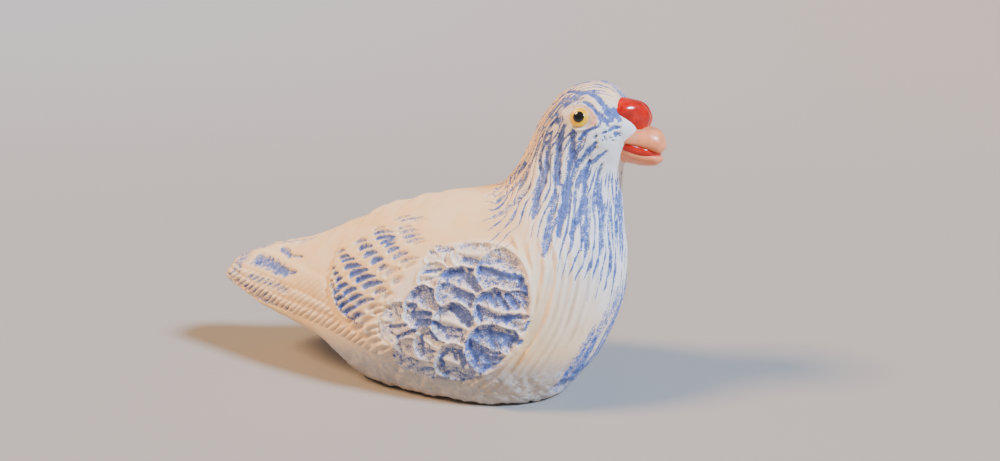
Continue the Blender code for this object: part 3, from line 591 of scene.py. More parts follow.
# Bold bands of the head and neck: section number and share of the turn from the back, along the band |
# half width in shares of a turn | blue
neckBands = (
    (((13.2, 0.15), (13.7, 0.15), (14.2, 0.15), (14.7, 0.152)), 0.006, 0.8),
    (((13.3, 0.15), (13.6, 0.178), (13.7, 0.212)), 0.011, 0.95),
    (((12.9, 0.166), (12.3, 0.178), (11.8, 0.184), (11.2, 0.176), (10.7, 0.182), (10.4, 0.186)), 0.012, 1.05),
    (((12.6, 0.146), (12.0, 0.15), (11.6, 0.166)), 0.007, 0.85),
    (((13.5, 0.198), (12.9, 0.209), (12.5, 0.217), (11.9, 0.224), (11.5, 0.224)), 0.0145, 1.25),
    (((11.6, 0.226), (11.1, 0.226), (10.7, 0.231), (10.3, 0.236), (10.0, 0.24)), 0.0105, 1.0),
    (((13.9, 0.232), (13.4, 0.25), (12.9, 0.266), (12.3, 0.266), (11.8, 0.258), (11.4, 0.258), (11.1, 0.254),
      (10.7, 0.256)), 0.014, 1.2),
    (((14.2, 0.316), (13.4, 0.305), (12.9, 0.287), (12.4, 0.276)), 0.009, 0.9),
    (((13.4, 0.322), (12.7, 0.313), (12.2, 0.318), (11.7, 0.311), (11.3, 0.295), (10.9, 0.288)), 0.011, 1.05),
    (((13.8, 0.366), (12.6, 0.356), (11.8, 0.35)), 0.007, 0.8),
    (((12.2, 0.338), (11.4, 0.334), (10.9, 0.33)), 0.006, 0.7),
    (((12.2, 0.392), (11.5, 0.378), (11.0, 0.375)), 0.0095, 0.95),
    (((12.6, 0.42), (11.7, 0.408), (11.2, 0.406)), 0.0055, 0.7),
    (((12.9, 0.45), (11.9, 0.44), (11.3, 0.438)), 0.0055, 0.6),
    (((12.6, 0.48), (11.9, 0.474), (11.2, 0.474)), 0.006, 0.6),
    (((13.1, 0.082), (12.3, 0.099), (11.6, 0.091), (10.7, 0.06), (9.3, 0.05), (8.4, 0.06)), 0.005, 0.75),
    (((13.2, 0.126), (12.5, 0.13), (11.6, 0.124), (10.9, 0.112), (10.0, 0.098), (9.0, 0.088)), 0.0055, 0.75),
    (((12.6, 0.06), (11.6, 0.052), (10.7, 0.03), (9.6, 0.022)), 0.0045, 0.65),
    (((12.4, 0.112), (11.6, 0.108), (10.7, 0.088), (9.6, 0.074), (8.8, 0.074)), 0.0045, 0.65),
    (((11.0, 0.15), (10.3, 0.136), (9.6, 0.126), (8.8, 0.118)), 0.006, 0.65),
)
# Strokes over and before the eye: x and z of both ends, width in mm, blue
faceDabs = (
    (26.2, 87.0, 28.6, 89.2, 0.6, 1), (28.6, 89.2, 30.6, 90.2, 0.7, 1.1), (30.6, 90.2, 32.7, 90.6, 0.6, 1.2),
    (32.7, 90.6, 34.7, 90.3, 0.8, 1.2), (34.7, 90.3, 36.6, 90.4, 0.9, 1.2), (36.6, 90.4, 38.5, 89.8, 1, 1.2),
    (38.5, 89.8, 40.3, 88.6, 1.1, 1.2), (40.3, 88.6, 41.4, 87.6, 1.2, 1.2),
    (41.4, 87.6, 42.4, 86.4, 1.2, 1.2), (42.4, 86.4, 43.4, 85.2, 1.4, 1.2),
    (43.4, 85.2, 44.3, 83.8, 1.6, 1.2), (44.3, 83.8, 44.6, 82.7, 1.6, 1.2),
    (36.8, 87.5, 37.9, 87.1, 0.9, 1.15), (37.9, 87.1, 39.2, 86, 1.1, 1.15), (39.2, 86, 40.3, 84.7, 1.2, 1.15),
    (40.3, 84.7, 41.1, 84, 1.4, 1.15), (41.1, 84, 42.1, 83.2, 1.6, 1.15), (42.1, 83.2, 43, 82.4, 1.5, 1.15),
    (43, 82.4, 43.9, 82.4, 1.3, 1.15), (44.7, 85.6, 45.7, 83.8, 1.3, 1.2), (45.7, 83.8, 46.3, 82.4, 1.1, 1.2),
    (44.3, 79.9, 45.1, 80.7, 1, 1.1), (45.1, 80.7, 46.3, 80.6, 1, 1.1), (45.5, 79, 45.5, 78.1, 0.9, 1),
    (46.4, 78.9, 46.5, 78.3, 0.5, 0.7), (42.5, 79.1, 43.3, 79.5, 0.7, 0.85), (42.9, 77.9, 43.2, 77, 0.7, 0.8),
    (43.5, 81.4, 43.8, 80.9, 0.6, 0.8), (40.3, 77.6, 40.9, 78.4, 0.6, 0.85),
    (34.6, 73.1, 35.8, 74.9, 0.5, 0.9), (35.8, 74.9, 36.8, 76.5, 0.7, 0.9),
    (36.8, 76.5, 37.5, 77.3, 0.9, 0.9), (44.3, 77.7, 44.5, 77.9, 0.5, 0.8), (44.9, 77, 45.2, 77, 0.5, 0.8),
    (42.4, 77.2, 42.5, 76.8, 0.5, 0.8), (39.8, 81.1, 38, 79.4, 1.3, 1.15), (38, 79.4, 36.4, 77.6, 1.1, 1.15),
    (40.9, 82.9, 41.8, 82.1, 0.6, 0.95), (41.8, 82.1, 41.2, 80.9, 0.6, 0.95),
    (41.2, 80.9, 40.2, 80.1, 0.5, 0.95), (40.5, 76.4, 39.6, 75, 0.9, 1.1), (39.6, 75, 37.9, 73, 1.5, 1.1),
    (43.2, 73.9, 41.5, 72.7, 0.8, 0.95), (41.5, 72.7, 40.3, 71.5, 1.1, 0.95),
    (40.3, 71.5, 39, 70.3, 1.2, 0.95), (31.7, 85.5, 33.6, 86.3, 0.5, 0.8), (33.6, 86.3, 35.3, 87.5, 0.5, 0.8),
    (35.3, 87.5, 36, 88, 0.4, 0.8), (33.4, 85.6, 34.8, 86.6, 0.4, 0.8), (34.8, 86.6, 35.9, 87.4, 0.4, 0.8),
    (29.4, 87.7, 30.7, 88.6, 0.4, 0.8), (30.7, 88.6, 32.1, 89.3, 0.4, 0.8),
)
neck = {
    "combs": 58.0,  # fine combing around the neck
    "span": (8.6, 10.6, 12.8, 14.6),  # sections where it starts, is full, fades and ends
    "wander": ((0.6, 1.3, 0.0), (0.3, 3.1, 5.0)),
    "ragged": 0.8,
    "faceAt": (45.5, 72.5),  # the smooth white skin under the corner of the beak
    "faceFade": (3.5, 3.5),
    "face": ((37.0, 2.0), (72.5, 3.0), (0.13, 0.03)),  # where the face begins in x, z and share of a turn
    # the comb's streaks of blue, in shares of a turn or in sections
    "front": (0.12, 0.08),
    "throat": (0.34, 0.06),
    "nape": (0.16, 0.1),
    "low": (9.7, 1.3),
    "crown": (12.0, 1.5),
    "top": (17.2, 0.8),
    "foot": (8.3, 0.35, 0.9, 1.3),  # start, how much lower on the nape | width, how much wider there
    "headFrom": 13.2,
    "bandDepth": 0.5,  # share of the wing's stroke depth
    "stationShare": 0.088,  # the shares of a turn that one section is long
    "dabDepth": 0.35,
    "dabSpread": 1.2,
    "dabSoft": 0.7,
    "flow": (96.0, 9.0, 0.2),  # mm round the neck, mm a section, and what moves the pattern sideways
}


def layBand(at, share, places, halfWidth, strength, cut, blue):
    stations, shares = np.array(places).T
    near = (at > stations.min() - 0.5) & (at < stations.max() + 0.5)
    near &= (share > shares.min() - 0.04) & (share < shares.max() + 0.04)
    u, v = at[near] * neck["stationShare"], share[near]
    spots = np.stack([stations * neck["stationShare"], shares], axis=1)
    distance, run = np.full(u.shape, np.inf), np.zeros(u.shape)
    for number, (start, end) in enumerate(zip(spots, spots[1:])):
        gap, part = fromLine(u, v, start, end)
        run = np.where(gap < distance, (number + part) / (len(spots) - 1), run)
        distance = np.minimum(distance, gap)
    ragged = 1.0 + 0.3 * softNoise(at[near] * 7.0, v * 160.0, 140)
    taper = 0.55 + 0.45 * smoothStep(run / 0.2) * falls(run, 1.0, 0.25)
    inBand = smoothStep(1.5 - distance / (halfWidth * ragged * taper))
    cut[near] = np.maximum(cut[near], neck["bandDepth"] * inBand)
    cleared = blue[near] * (1.0 - 0.6 * smoothStep(1.9 - distance / halfWidth))
    blue[near] = np.maximum(cleared, strength * inBand)


def layNeck(at, share, x, z, cut, comb, combPhase, blue, streak):  # the combed neck and its bold bands
    start, full, fadeFrom, end = neck["span"]
    mask = rises(at, start, full - start) * falls(at, end, end - fadeFrom)
    fromFace = np.hypot(x - neck["faceAt"][0], z - neck["faceAt"][1])
    offFace = rises(fromFace, *neck["faceFade"])
    offEye = smoothStep(lidReach(x, z) / 0.35 - 3.2)
    combPhase += neck["combs"] * share
    for size, rate, lag in neck["wander"]:
        combPhase += size * np.sin(rate * at + lag * share)
    combPhase += neck["ragged"] * softNoise(at * 1.3, share * 22.0, 120)
    inX, inZ, inShare = neck["face"]
    face = rises(x, *inX) * rises(z, *inZ) * rises(share, *inShare)
    comb += mask * offFace * offEye * (1.0 - face)
    front, throat = rises(share, *neck["front"]), rises(share, *neck["throat"])
    low, crown, nape = rises(at, *neck["low"]), rises(at, *neck["crown"]), falls(share, *neck["nape"])
    begins, lower, width, wider = neck["foot"]
    upTo = smoothStep((at - begins + lower * nape) / (width + wider * nape)) * falls(at, *neck["top"])
    onFront, onBack = low * (1.25 + 0.4 * throat), 1.3 + 0.3 * crown
    streak += offFace * offEye * upTo * (front * onFront + (1.0 - front) * onBack) * (1.0 - 0.9 * face)
    for places, halfWidth, strength in neckBands:
        layBand(at, share, places, halfWidth, strength, cut, blue)
    head = at > neck["headFrom"]
    headCut, headBlue = cut[head], blue[head]
    layDabs(x[head], z[head], faceDabs, neck, headCut, headBlue, 145)
    cut[head], blue[head] = headCut, headBlue


breast = {
    # soft flutes: mm round the front, share of the height
    "flutes": (
        (-3.4, 0.6), (0.4, 0.8), (4.1, 0.7), (8.0, 1.0), (11.4, 0.5), (14.6, 0.9), (18.7, 0.8),
        (22.9, 0.8), (27.0, 0.6), (31.0, 0.6), (35.0, 0.5), (39.0, 0.4), (43.0, 0.4),
    ),
    "height": 1.15,  # mm
    "width": 1.35,
    "sweep": 13.0,  # mm that they sweep back under the wing
    "rear": (7.2, 0.6),  # sections
    "front": (11.6, 0.8),
    "top": (53.0, 6.0),  # mm
    "foot": (3.0, 6.0),
    # blue washed over the low front edge: z and where it begins round the front, in mm
    "washEdge": ((8.0, 20.0, 28.0, 36.0, 42.0), (33.0, 32.0, 40.0, 48.0, 66.0)),
    "washRear": (8.2, 0.6),
    "torn": 5.0,
    "tornTo": (20.0, 8.0),
}


def layBreast(at, drawn, onPatch, form, blue):
    x, aside, z = drawn[..., 0], np.abs(drawn[..., 1]), drawn[..., 2]
    across = x - aside + breast["sweep"] * np.clip((45.0 - z) / 30.0, 0.0, 2.0) ** 1.6
    onBreast = rises(at, *breast["rear"]) * falls(z, *breast["top"]) * rises(z, *breast["foot"])
    onBreast = onBreast * (1.0 - onPatch) * falls(at, *breast["front"])
    for number, (place, rise) in enumerate(breast["flutes"]):
        row = np.full_like(z, 5.0 * number)
        bent = across - place - 0.8 * softNoise(z * 0.11, row, 150)
        uneven = 0.7 + 0.5 * softNoise(z * 0.16, row + 2.5, 152)
        form += breast["height"] * rise * uneven * onBreast * ridge(bent, breast["width"])
    edge = np.interp(z, *breast["washEdge"])
    torn = breast["torn"] * softNoise(aside * 0.45, z * 0.05, 153) * falls(aside, *breast["tornTo"])
    lowFront = smoothStep((across - edge + 5.5 + torn) / 8.0) * rises(at, *breast["washRear"])
    blue += lowFront * np.clip(0.72 + 0.6 * softNoise(across * 0.9, z * 0.12, 151), 0.0, 1.05)


foot = {
    "flare": 0.45,  # mm
    "flareAt": (2.4, 3.0),  # z and half width
    "softEdge": 0.9,  # mm
    "top": (15.0, 7.0),
    "marks": 0.42,  # mm
    "scrape": 0.35,  # mm
}


def layFoot(x, z, form):  # a soft lower edge with a slight flare and the marks of a tool
    flare = ridge(z - foot["flareAt"][0], foot["flareAt"][1]) * foot["flare"]
    form += flare - foot["softEdge"] * falls(z, foot["softEdge"], foot["softEdge"])
    marks = softNoise(x * 0.32, z * 0.22, 160) + 0.6 * softNoise(x * 0.8, z * 0.7, 161)
    scraped = smoothStep(1.0 - np.abs(softNoise(x * 0.75 + z * 0.5, z * 0.12, 162)) / 0.11)
    form += falls(z, *foot["top"]) * (foot["marks"] * marks - foot["scrape"] * scraped)


skin = {  # the skin that swells between the cere and the beak
    "swell": 1.4,  # mm
    "from": (16.0, 0.7),  # sections
    "at": (80.2, 4.4),  # z and half width
}


def layoutBody():  # the smooth grid, its normals, and every field of the carving and the paint
    sections = evenSections(bodySections, bird["rings"])
    turns = evenTurns(bird["sides"])
    drawn = sectionPoints(bodySections, sections, turns)
    steps = np.linalg.norm(np.diff(drawn, axis=1), axis=2)
    half = bird["sides"] // 2
    down = np.concatenate([np.zeros((bird["rings"], 1)), np.cumsum(steps[:, :half], axis=1)], axis=1)
    girth = np.concatenate([down, down[:, half - 1 : 0 : -1]], axis=1)
    x, z = drawn[..., 0], drawn[..., 2]
    at = np.broadcast_to(sections[:, None], x.shape).copy()
    share = np.broadcast_to(0.5 - np.abs(turns / (2.0 * math.pi) - 0.5)[None, :], x.shape).copy()
    form, cut, blue, rope, ropePhase, comb, combPhase, streak = (np.zeros_like(x) for _ in range(8))

    onWing = smoothStep(wingInset(x, girth) / wing["edgeWidth"])
    form += rises(girth, *wing["backFade"]) * (wing["step"] * falls(x, *wing["frontFade"])) * onWing
    layRows(x, girth, form, cut, blue)
    cut *= onWing
    blue *= onWing
    layTail(x, girth, at, form, cut, rope, ropePhase, blue)
    layBack(x, girth, form)
    onPatch = layCoverts(x, girth, form, cut, blue)
    layNeck(at, share, x, z, cut, comb, combPhase, blue, streak)
    layBreast(at, drawn, onPatch, form, blue)
    layFoot(x, z, form)
    form += skin["swell"] * rises(at, *skin["from"]) * ridge(z - skin["at"][0], skin["at"][1])

    # the eyelids, on the head alone
    reach = np.where(at > 12.0, lidReach(x, z), np.inf)
    form += eye["lidRise"] * ridge(reach - 1.0, eye["lidWidth"])
    lid = falls(reach, *eye["lidEnd"])
    blue *= 1.0 - lid
    # the neck's front and the covert patch turn white: partly their own white paint, partly painted bluish
    # window light
    whitePaintAndLitNeck = rises(at, 8.5, 3.0) * rises(share, 0.05, 0.25)
    fields = {
        "form": form,
        "cut": cut,
        "rope": np.clip(rope, 0.0, 1.0),
        "ropePhase": ropePhase,
        "comb": comb,
        "combPhase": combPhase,
        "wash": np.clip(blue, 0.0, 1.5),
        "flesh": lid * rises(x - eye["at"][0], *eye["fleshFrom"]),
        "streak": streak,
        # greyer towards the bottom: the base's own plainer tone, and painted shade on the underside
        "low": falls(z, 20.0, 10.0),
        "cool": np.maximum(whitePaintAndLitNeck, 0.55 * onPatch),
        "flow": np.stack([share, at, drawn[..., 1]], axis=-1) * neck["flow"],
    }
    return drawn, gridNormals(drawn), fields


def hexColour(code):  # a sRGB hex colour turned to linear
    parts = [int(code[place : place + 2], 16) / 255.0 for place in (1, 3, 5)]
    linear = [part / 12.92 if part <= 0.04045 else ((part + 0.055) / 1.055) ** 2.4 for part in parts]
    return (*linear, 1.0)


def addNode(tree, kind, inputs=None, **settings):  # one node with its settings, values and links
    node = tree.nodes.new(kind)
    for name, value in settings.items():
        setattr(node, name, value)
    for socket, value in (inputs or {}).items():
        if isinstance(value, bpy.types.NodeSocket):
            tree.links.new(value, node.inputs[socket])
        else:
            node.inputs[socket].default_value = value
    return node


# The steps that aren't a Math node: kind, the setting that the step names, its sockets, its result's socket
otherSteps = {
    "LINEAR": ("ShaderNodeMapRange", "interpolation_type", (0, 1, 2), 0),
    "SMOOTHSTEP": ("ShaderNodeMapRange", "interpolation_type", (0, 1, 2), 0),
    "RGBA": ("ShaderNodeMix", "data_type", (0, 6, 7), 2),
}


def addSteps(tree, made, rows):  # a row: its result | what it starts from | a node for each step from there
    for result, start, *steps in rows:
        value = made.get(start, start)
        for step, *parts in steps:  # a part is a number, a hex colour or an earlier result
            kind, setting, sockets, output = otherSteps.get(step, ("ShaderNodeMath", "operation", (0, 1), 0))
            parts = [made.get(part, part) for part in parts]
            parts = [hexColour(part) if isinstance(part, str) else part for part in parts]
            node = addNode(tree, kind, dict(zip(sockets, (value, *parts))), **{setting: step})
            value = node.outputs[output]
        made[result] = value


def carvingTree(finish):  # Geometry Nodes that press the layout into the smooth form
    tree = bpy.data.node_groups.new("carvedClay", "GeometryNodeTree")
    face = tree.interface
    face.new_socket("Geometry", in_out="INPUT", socket_type="NodeSocketGeometry")
    for name in carvingInputs:
        face.new_socket(name, in_out="INPUT", socket_type="NodeSocketFloat")
    face.new_socket("Geometry", in_out="OUTPUT", socket_type="NodeSocketGeometry")
    entry = addNode(tree, "NodeGroupInput").outputs
    made = {name: entry[name] for name in carvingInputs}
    for name in ("form", "cut", "rope", "ropePhase", "comb", "combPhase", "outward"):
        kind = "FLOAT_VECTOR" if name == "outward" else "FLOAT"
        reading = addNode(tree, "GeometryNodeInputNamedAttribute", {"Name": name}, data_type=kind)
        made[name] = reading.outputs["Attribute"]

    # ridges one phase apart, 1 deep between them
    for dip, hold, phase, roundness in (
        ("ropeDip", "rope", "ropePhase", 0.65),
        ("combDip", "comb", "combPhase", 0.8),
    ):
        peaks = (("MULTIPLY", math.pi), ("COSINE",), ("ABSOLUTE",), ("POWER", roundness))
        addSteps(tree, made, ((dip, phase, *peaks, ("MULTIPLY", -1.0), ("ADD", 1.0), ("MULTIPLY", hold)),))
    for dip, depth in (("cut", "Barb depth"), ("ropeDip", "Rope depth"), ("combDip", "Comb depth")):
        addSteps(tree, made, (("sunk", dip, ("MULTIPLY", depth)), ("form", "form", ("SUBTRACT", "sunk"))))
    place = addNode(tree, "GeometryNodeInputPosition").outputs[0]
    for level, (size, rise) in enumerate((("Lump size", "Lump height"), ("Press size", "Press height"))):
        addSteps(tree, made, (("scale", 1.0 / mm, ("DIVIDE", size)),))
        noise = {"Vector": place, "W": bird["seed"] + level, "Scale": made["scale"], "Detail": 1.0}
        made["noise"] = addNode(tree, "ShaderNodeTexNoise", noise, noise_dimensions="4D").outputs[0]
        addSteps(tree, made, (
            ("height", rise, ("MULTIPLY", 2.0)),
            ("lump", "noise", ("SUBTRACT", 0.5), ("MULTIPLY", "height")),
            ("form", "form", ("ADD", "lump")),
        ))
    addSteps(tree, made, (("metres", "form", ("MULTIPLY", mm)),))
    outward = {0: made["outward"], "Scale": made["metres"]}
    push = addNode(tree, "ShaderNodeVectorMath", outward, operation="SCALE").outputs[0]
    moved = addNode(tree, "GeometryNodeSetPosition", {"Geometry": entry["Geometry"], "Offset": push})
    stored = {"Geometry": moved.outputs[0], "Name": "ropeDip", "Value": made["ropeDip"]}
    kept = addNode(tree, "GeometryNodeStoreNamedAttribute", stored, data_type="FLOAT", domain="POINT")
    real = addNode(tree, "GeometryNodeRealizeInstances", {"Geometry": kept.outputs[0]})
    painted = addNode(tree, "GeometryNodeSetMaterial", {"Geometry": real.outputs[0], "Material": finish})
    addNode(tree, "NodeGroupOutput", {"Geometry": painted.outputs[0]})
    return tree


def linkObject(name, data):
    thing = bpy.data.objects.new(name, data)
    bpy.context.scene.collection.objects.link(thing)
    return thing


def bakedMesh(thing):  # the object's mesh with its modifiers applied, and the modifiers gone
    graph = bpy.context.evaluated_depsgraph_get()
    mesh = bpy.data.meshes.new_from_object(thing.evaluated_get(graph))
    thing.modifiers.clear()
    thing.data = mesh
    return mesh


def keepInside(mesh):  # narrows the mesh evenly until it lies inside the solid's box
    places = np.empty(3 * len(mesh.vertices), dtype=np.float32)
    mesh.vertices.foreach_get("co", places)
    places = places.reshape(-1, 3)
    share = min(cadHigh[1], -cadLow[1]) / np.abs(places[:, 1]).max()
    places[:, 1] *= min(1.0, share - boxMargin)
    places[:, 2] = np.clip(places[:, 2], 0.0, cadHigh[2])
    mesh.vertices.foreach_set("co", places.ravel())
    mesh.update()


def cutFlat(mesh):  # cuts away what is under z = 0 and closes the base
    work = bmesh.new()
    work.from_mesh(mesh)
    everything = work.verts[:] + work.edges[:] + work.faces[:]
    bmesh.ops.bisect_plane(work, geom=everything, plane_no=(0, 0, 1), clear_inner=True)
    rim = [edge for edge in work.edges if edge.is_boundary]
    bmesh.ops.contextual_create(work, geom=rim)
    bmesh.ops.triangulate(work, faces=work.faces[:])
    bmesh.ops.recalc_face_normals(work, faces=work.faces[:])
    work.to_mesh(mesh)
    work.free()


paint = {
    "cream": "#f8ca8c",
    "creamPale": "#f5dab0",
    # a bluish white: the neck's own white paint, and painted light of the bluish window
    "white": "#e8ecef",
    "creamWorn": "#ccb79c",
    "blue": "#5a6ca4",
    "blueThin": "#8290bc",
    "blueDeep": "#46568e",
    "clay": "#8a6a58",
    "lidFlesh": "#ecb795",
    "grooveShade": "#a8a8ae",  # painted shade: the cream darkens in the grooves
    "lowBaseAndShadeGrey": "#a6a8aa",  # greyer low on the body: the base's own plainer tone, and painted shade on the underside
    "speckled": 3.0,  # how far speckle and patches scatter the edge between cream and blue
    "patched": 1.2,
    "streakSize": (2.0, 13.0),  # mm across and along a streak of the comb
    # size in mm, detail, roughness
    "patterns": {
        "speckle": (0.3, 3.0, 0.6),  # the grain that the dry brush leaves
        "patches": (1.5, 2.0, 0.5),
        "clouds": (9.0, 2.0, 0.5),
        "missed": (0.6, 2.0, 0.7),  # pits that the brush misses
        "grain": (0.22, 3.0, 0.6),  # fired clay's grain, which is felt more than seen
    },
}
# How the paint is worked out from the patterns and the body's attributes, in rows as addSteps takes them
paintSteps = (
    # the comb's lines: long and thin on the nape and the crown, wide and broken on the cheek and the throat
    ("turn", "combPhase", ("MULTIPLY", math.pi), ("COSINE",), ("ABSOLUTE",)),
    ("width", "broken", ("SUBTRACT", 0.35), ("MULTIPLY", 2.7), ("MAXIMUM", 0.0), ("MULTIPLY", "streak")),
    ("shown", "width", ("SMOOTHSTEP", 0.02, 0.12), ("MULTIPLY", 0.95)),
    ("lined", "turn", ("SUBTRACT", "width"), ("SMOOTHSTEP", 0.12, -0.12), ("MULTIPLY", "shown")),
    # blue stays in the valleys between the tail's barbs and leaves their ridges
    ("valleys", "ropeDip", ("MULTIPLY", 1.5), ("SUBTRACT", 0.6), ("MULTIPLY", "rope"), ("MULTIPLY", "wash")),
    ("level", "wash", ("ADD", "valleys"), ("MAXIMUM", "lined")),
    # the dry brush breaks the edge between the colours into specks
    ("brushed", "level", ("SMOOTHSTEP", 0.02, 0.3)),
    ("blots", "patches", ("SUBTRACT", 0.5), ("MULTIPLY", paint["patched"])),
    ("specks", "speckle", ("SUBTRACT", 0.5), ("MULTIPLY", paint["speckled"]), ("ADD", "blots")),
    ("specks", "specks", ("MULTIPLY", "brushed")),
    ("level", "level", ("ADD", "specks")),
    ("blueShows", "level", ("SMOOTHSTEP", 0.5, 0.66)),
    # cream over it: white on the neck and the patch, partly its own white paint, partly painted bluish window
    # light; worn thin; darkened in the grooves as painted shade; greyer low down, partly the base's own
    # plainer tone, partly painted shade on the underside; flesh by the eye
    ("pale", "clouds", ("SMOOTHSTEP", 0.3, 0.7), ("MULTIPLY", 0.5)),
    ("cream", "pale", ("RGBA", paint["cream"], paint["creamPale"])),
    # white on the neck and the patch: partly white paint, partly painted bluish window light
    ("cream", "cool", ("MULTIPLY", 0.8), ("RGBA", "cream", paint["white"])),
    ("worn", "speckle", ("SMOOTHSTEP", 0.52, 0.75), ("MULTIPLY", 0.35)),
    ("cream", "worn", ("RGBA", "cream", paint["creamWorn"])),
    # painted shade: the cream darkens in the grooves
    ("grooves", "cut", ("SMOOTHSTEP", 0.35, 1.0), ("MAXIMUM", "ropeDip")),
    ("cream", "grooves", ("MULTIPLY", 0.42), ("RGBA", "cream", paint["grooveShade"])),
    # greyer low down: partly the base's own plainer tone, partly painted shade on the underside
    ("plain", "patches", ("MULTIPLY", 0.7), ("ADD", 0.42), ("MULTIPLY", "low")),
    ("cream", "plain", ("RGBA", "cream", paint["lowBaseAndShadeGrey"])),
    ("cream", "flesh", ("RGBA", "cream", paint["lidFlesh"])),
    # the blue under-paint: thin at its edges, deeper in patches
    ("blue", "level", ("SMOOTHSTEP", 0.6, 1.15), ("RGBA", paint["blueThin"], paint["blue"])),
    ("blue", "patches", ("SMOOTHSTEP", 0.5, 0.75), ("RGBA", "blue", paint["blueDeep"])),
    ("colour", "blueShows", ("RGBA", "cream", "blue")),
    # bare clay in a few pits
    ("colour", "missed", ("SMOOTHSTEP", 0.69, 0.74), ("MULTIPLY", 0.35), ("RGBA", "colour", paint["clay"])),
)


def newFinish(name, looks):  # a material, its node tree and its shader's sockets
    finish = bpy.data.materials.new(name)
    finish.use_nodes = True
    shader = finish.node_tree.nodes["Principled BSDF"].inputs
    for socket, value in looks.items():
        shader[socket].default_value = value
    return finish, finish.node_tree, shader


def coldPaintedTerracotta():
    # Fired terracotta with matt distemper-like paint: chalky, no gloss, the clay's grain shows through, and
    # the cream was dragged over the high places only, so its edge against the blue is broken into specks.
    finish, tree, shader = newFinish("coldPaintedTerracotta", {"Roughness": 0.86, "Specular IOR Level": 0.28})
    made = {}
    for name in ("combPhase", "streak", "rope", "ropeDip", "wash", "cool", "cut", "low", "flesh"):
        made[name] = addNode(tree, "ShaderNodeAttribute", attribute_name=name).outputs["Fac"]
    place = addNode(tree, "ShaderNodeTexCoord").outputs["Object"]
    for name, (size, detail, roughness) in paint["patterns"].items():
        looks = {"Vector": place, "Scale": 1.0 / (size * mm), "Detail": detail, "Roughness": roughness}
        made[name] = addNode(tree, "ShaderNodeTexNoise", looks).outputs[0]
    flow = addNode(tree, "ShaderNodeAttribute", attribute_name="flow").outputs["Vector"]
    across, along = paint["streakSize"]
    shares = (1.0 / across, 1.0 / along, 1.0)
    stretched = addNode(tree, "ShaderNodeVectorMath", {0: flow, 1: shares}, operation="MULTIPLY")
    streaky = {"Vector": stretched.outputs[0], "Scale": 1.0, "Detail": 2.0}
    made["broken"] = addNode(tree, "ShaderNodeTexNoise", streaky).outputs[0]
    addSteps(tree, made, paintSteps)
    tree.links.new(made["colour"], shader["Base Color"])
    grain = {"Strength": 0.35, "Distance": 0.08 * mm, "Height": made["grain"]}
    rough = addNode(tree, "ShaderNodeBump", grain).outputs[0]
    film = {"Strength": 0.5, "Distance": 0.07 * mm, "Height": made["blueShows"], "Normal": rough}
    tree.links.new(addNode(tree, "ShaderNodeBump", film, invert=True).outputs[0], shader["Normal"])
    return finish


# Enamels: where the coat is thick, where it pulls thin, roughness, clear coat
enamels = {
    "redEnamel": ("#d41400", "#a60600", 0.2, 0.15),
    "pinkEnamel": ("#f29664", "#e88452", 0.34, 0.1),
    "yellowEnamel": ("#f8c600", "#e6a200", 0.3, 0.15),
    "blackEnamel": ("#15110f", "#0d0b0a", 0.15, 0.6),
}
enamelStroke, enamelWave = 2.4, 0.9  # mm


def enamel(name, light, dark, roughness, coat):
    # Hobby enamel brushed over the clay: a smooth glossy skin that pulls thin on the high places.
    looks = {"Roughness": roughness, "Coat Weight": coat, "Coat Roughness": 0.08}
    finish, tree, shader = newFinish(name, looks)
    place = addNode(tree, "ShaderNodeTexCoord").outputs["Object"]
    made = {}
    for pattern, size, detail in (("strokes", enamelStroke, 3.0), ("waves", enamelWave, 1.0)):
        looks = {"Vector": place, "Scale": 1.0 / (size * mm), "Detail": detail}
        made[pattern] = addNode(tree, "ShaderNodeTexNoise", looks).outputs[0]
    addSteps(tree, made, (("colour", "strokes", ("LINEAR", 0.35, 0.68), ("RGBA", light, dark)),))
    tree.links.new(made["colour"], shader["Base Color"])
    waves = {"Strength": 0.3, "Distance": 0.12 * mm, "Height": made["waves"]}
    tree.links.new(addNode(tree, "ShaderNodeBump", waves).outputs[0], shader["Normal"])
    return finish


print("body: laying out the feathers")
drawn, normals, fields = layoutBody()
mesh = gridMesh("body", drawn * mm)
outward = onGrid(normals)
outward[0], outward[-1] = normals[1].mean(axis=0), normals[-2].mean(axis=0)
for name, values in {**{name: onGrid(field) for name, field in fields.items()}, "outward": outward}.items():
    kind, slot = ("FLOAT", "value") if values.ndim == 1 else ("FLOAT_VECTOR", "vector")
    mesh.attributes.new(name, kind, "POINT").data.foreach_set(slot, values.astype(np.float32).ravel())
body = linkObject("body", mesh)
print("body: carving")
carvingInputs = {
    "Barb depth": bird["barbDepth"],
    "Rope depth": bird["ropeDepth"],
    "Comb depth": bird["combDepth"],
    "Lump height": bird["lumpHeight"],
    "Lump size": bird["lumpSize"],
    "Press height": bird["pressHeight"],
    "Press size": bird["pressSize"],
}
tree = carvingTree(coldPaintedTerracotta())
carving = body.modifiers.new("carving", "NODES")
carving.node_group = tree
for item in tree.interface.items_tree:
    if item.in_out == "INPUT" and item.name in carvingInputs:
        carving[item.identifier] = carvingInputs[item.name]
bakedMesh(body)
print("body: cutting the base and thinning")
cutFlat(body.data)
thin = body.modifiers.new("thin", "DECIMATE")
thin.ratio = bird["triangles"] / len(body.data.polygons)
keepInside(bakedMesh(body))
body.data.shade_smooth()
print("body:", len(body.data.polygons), "triangles")

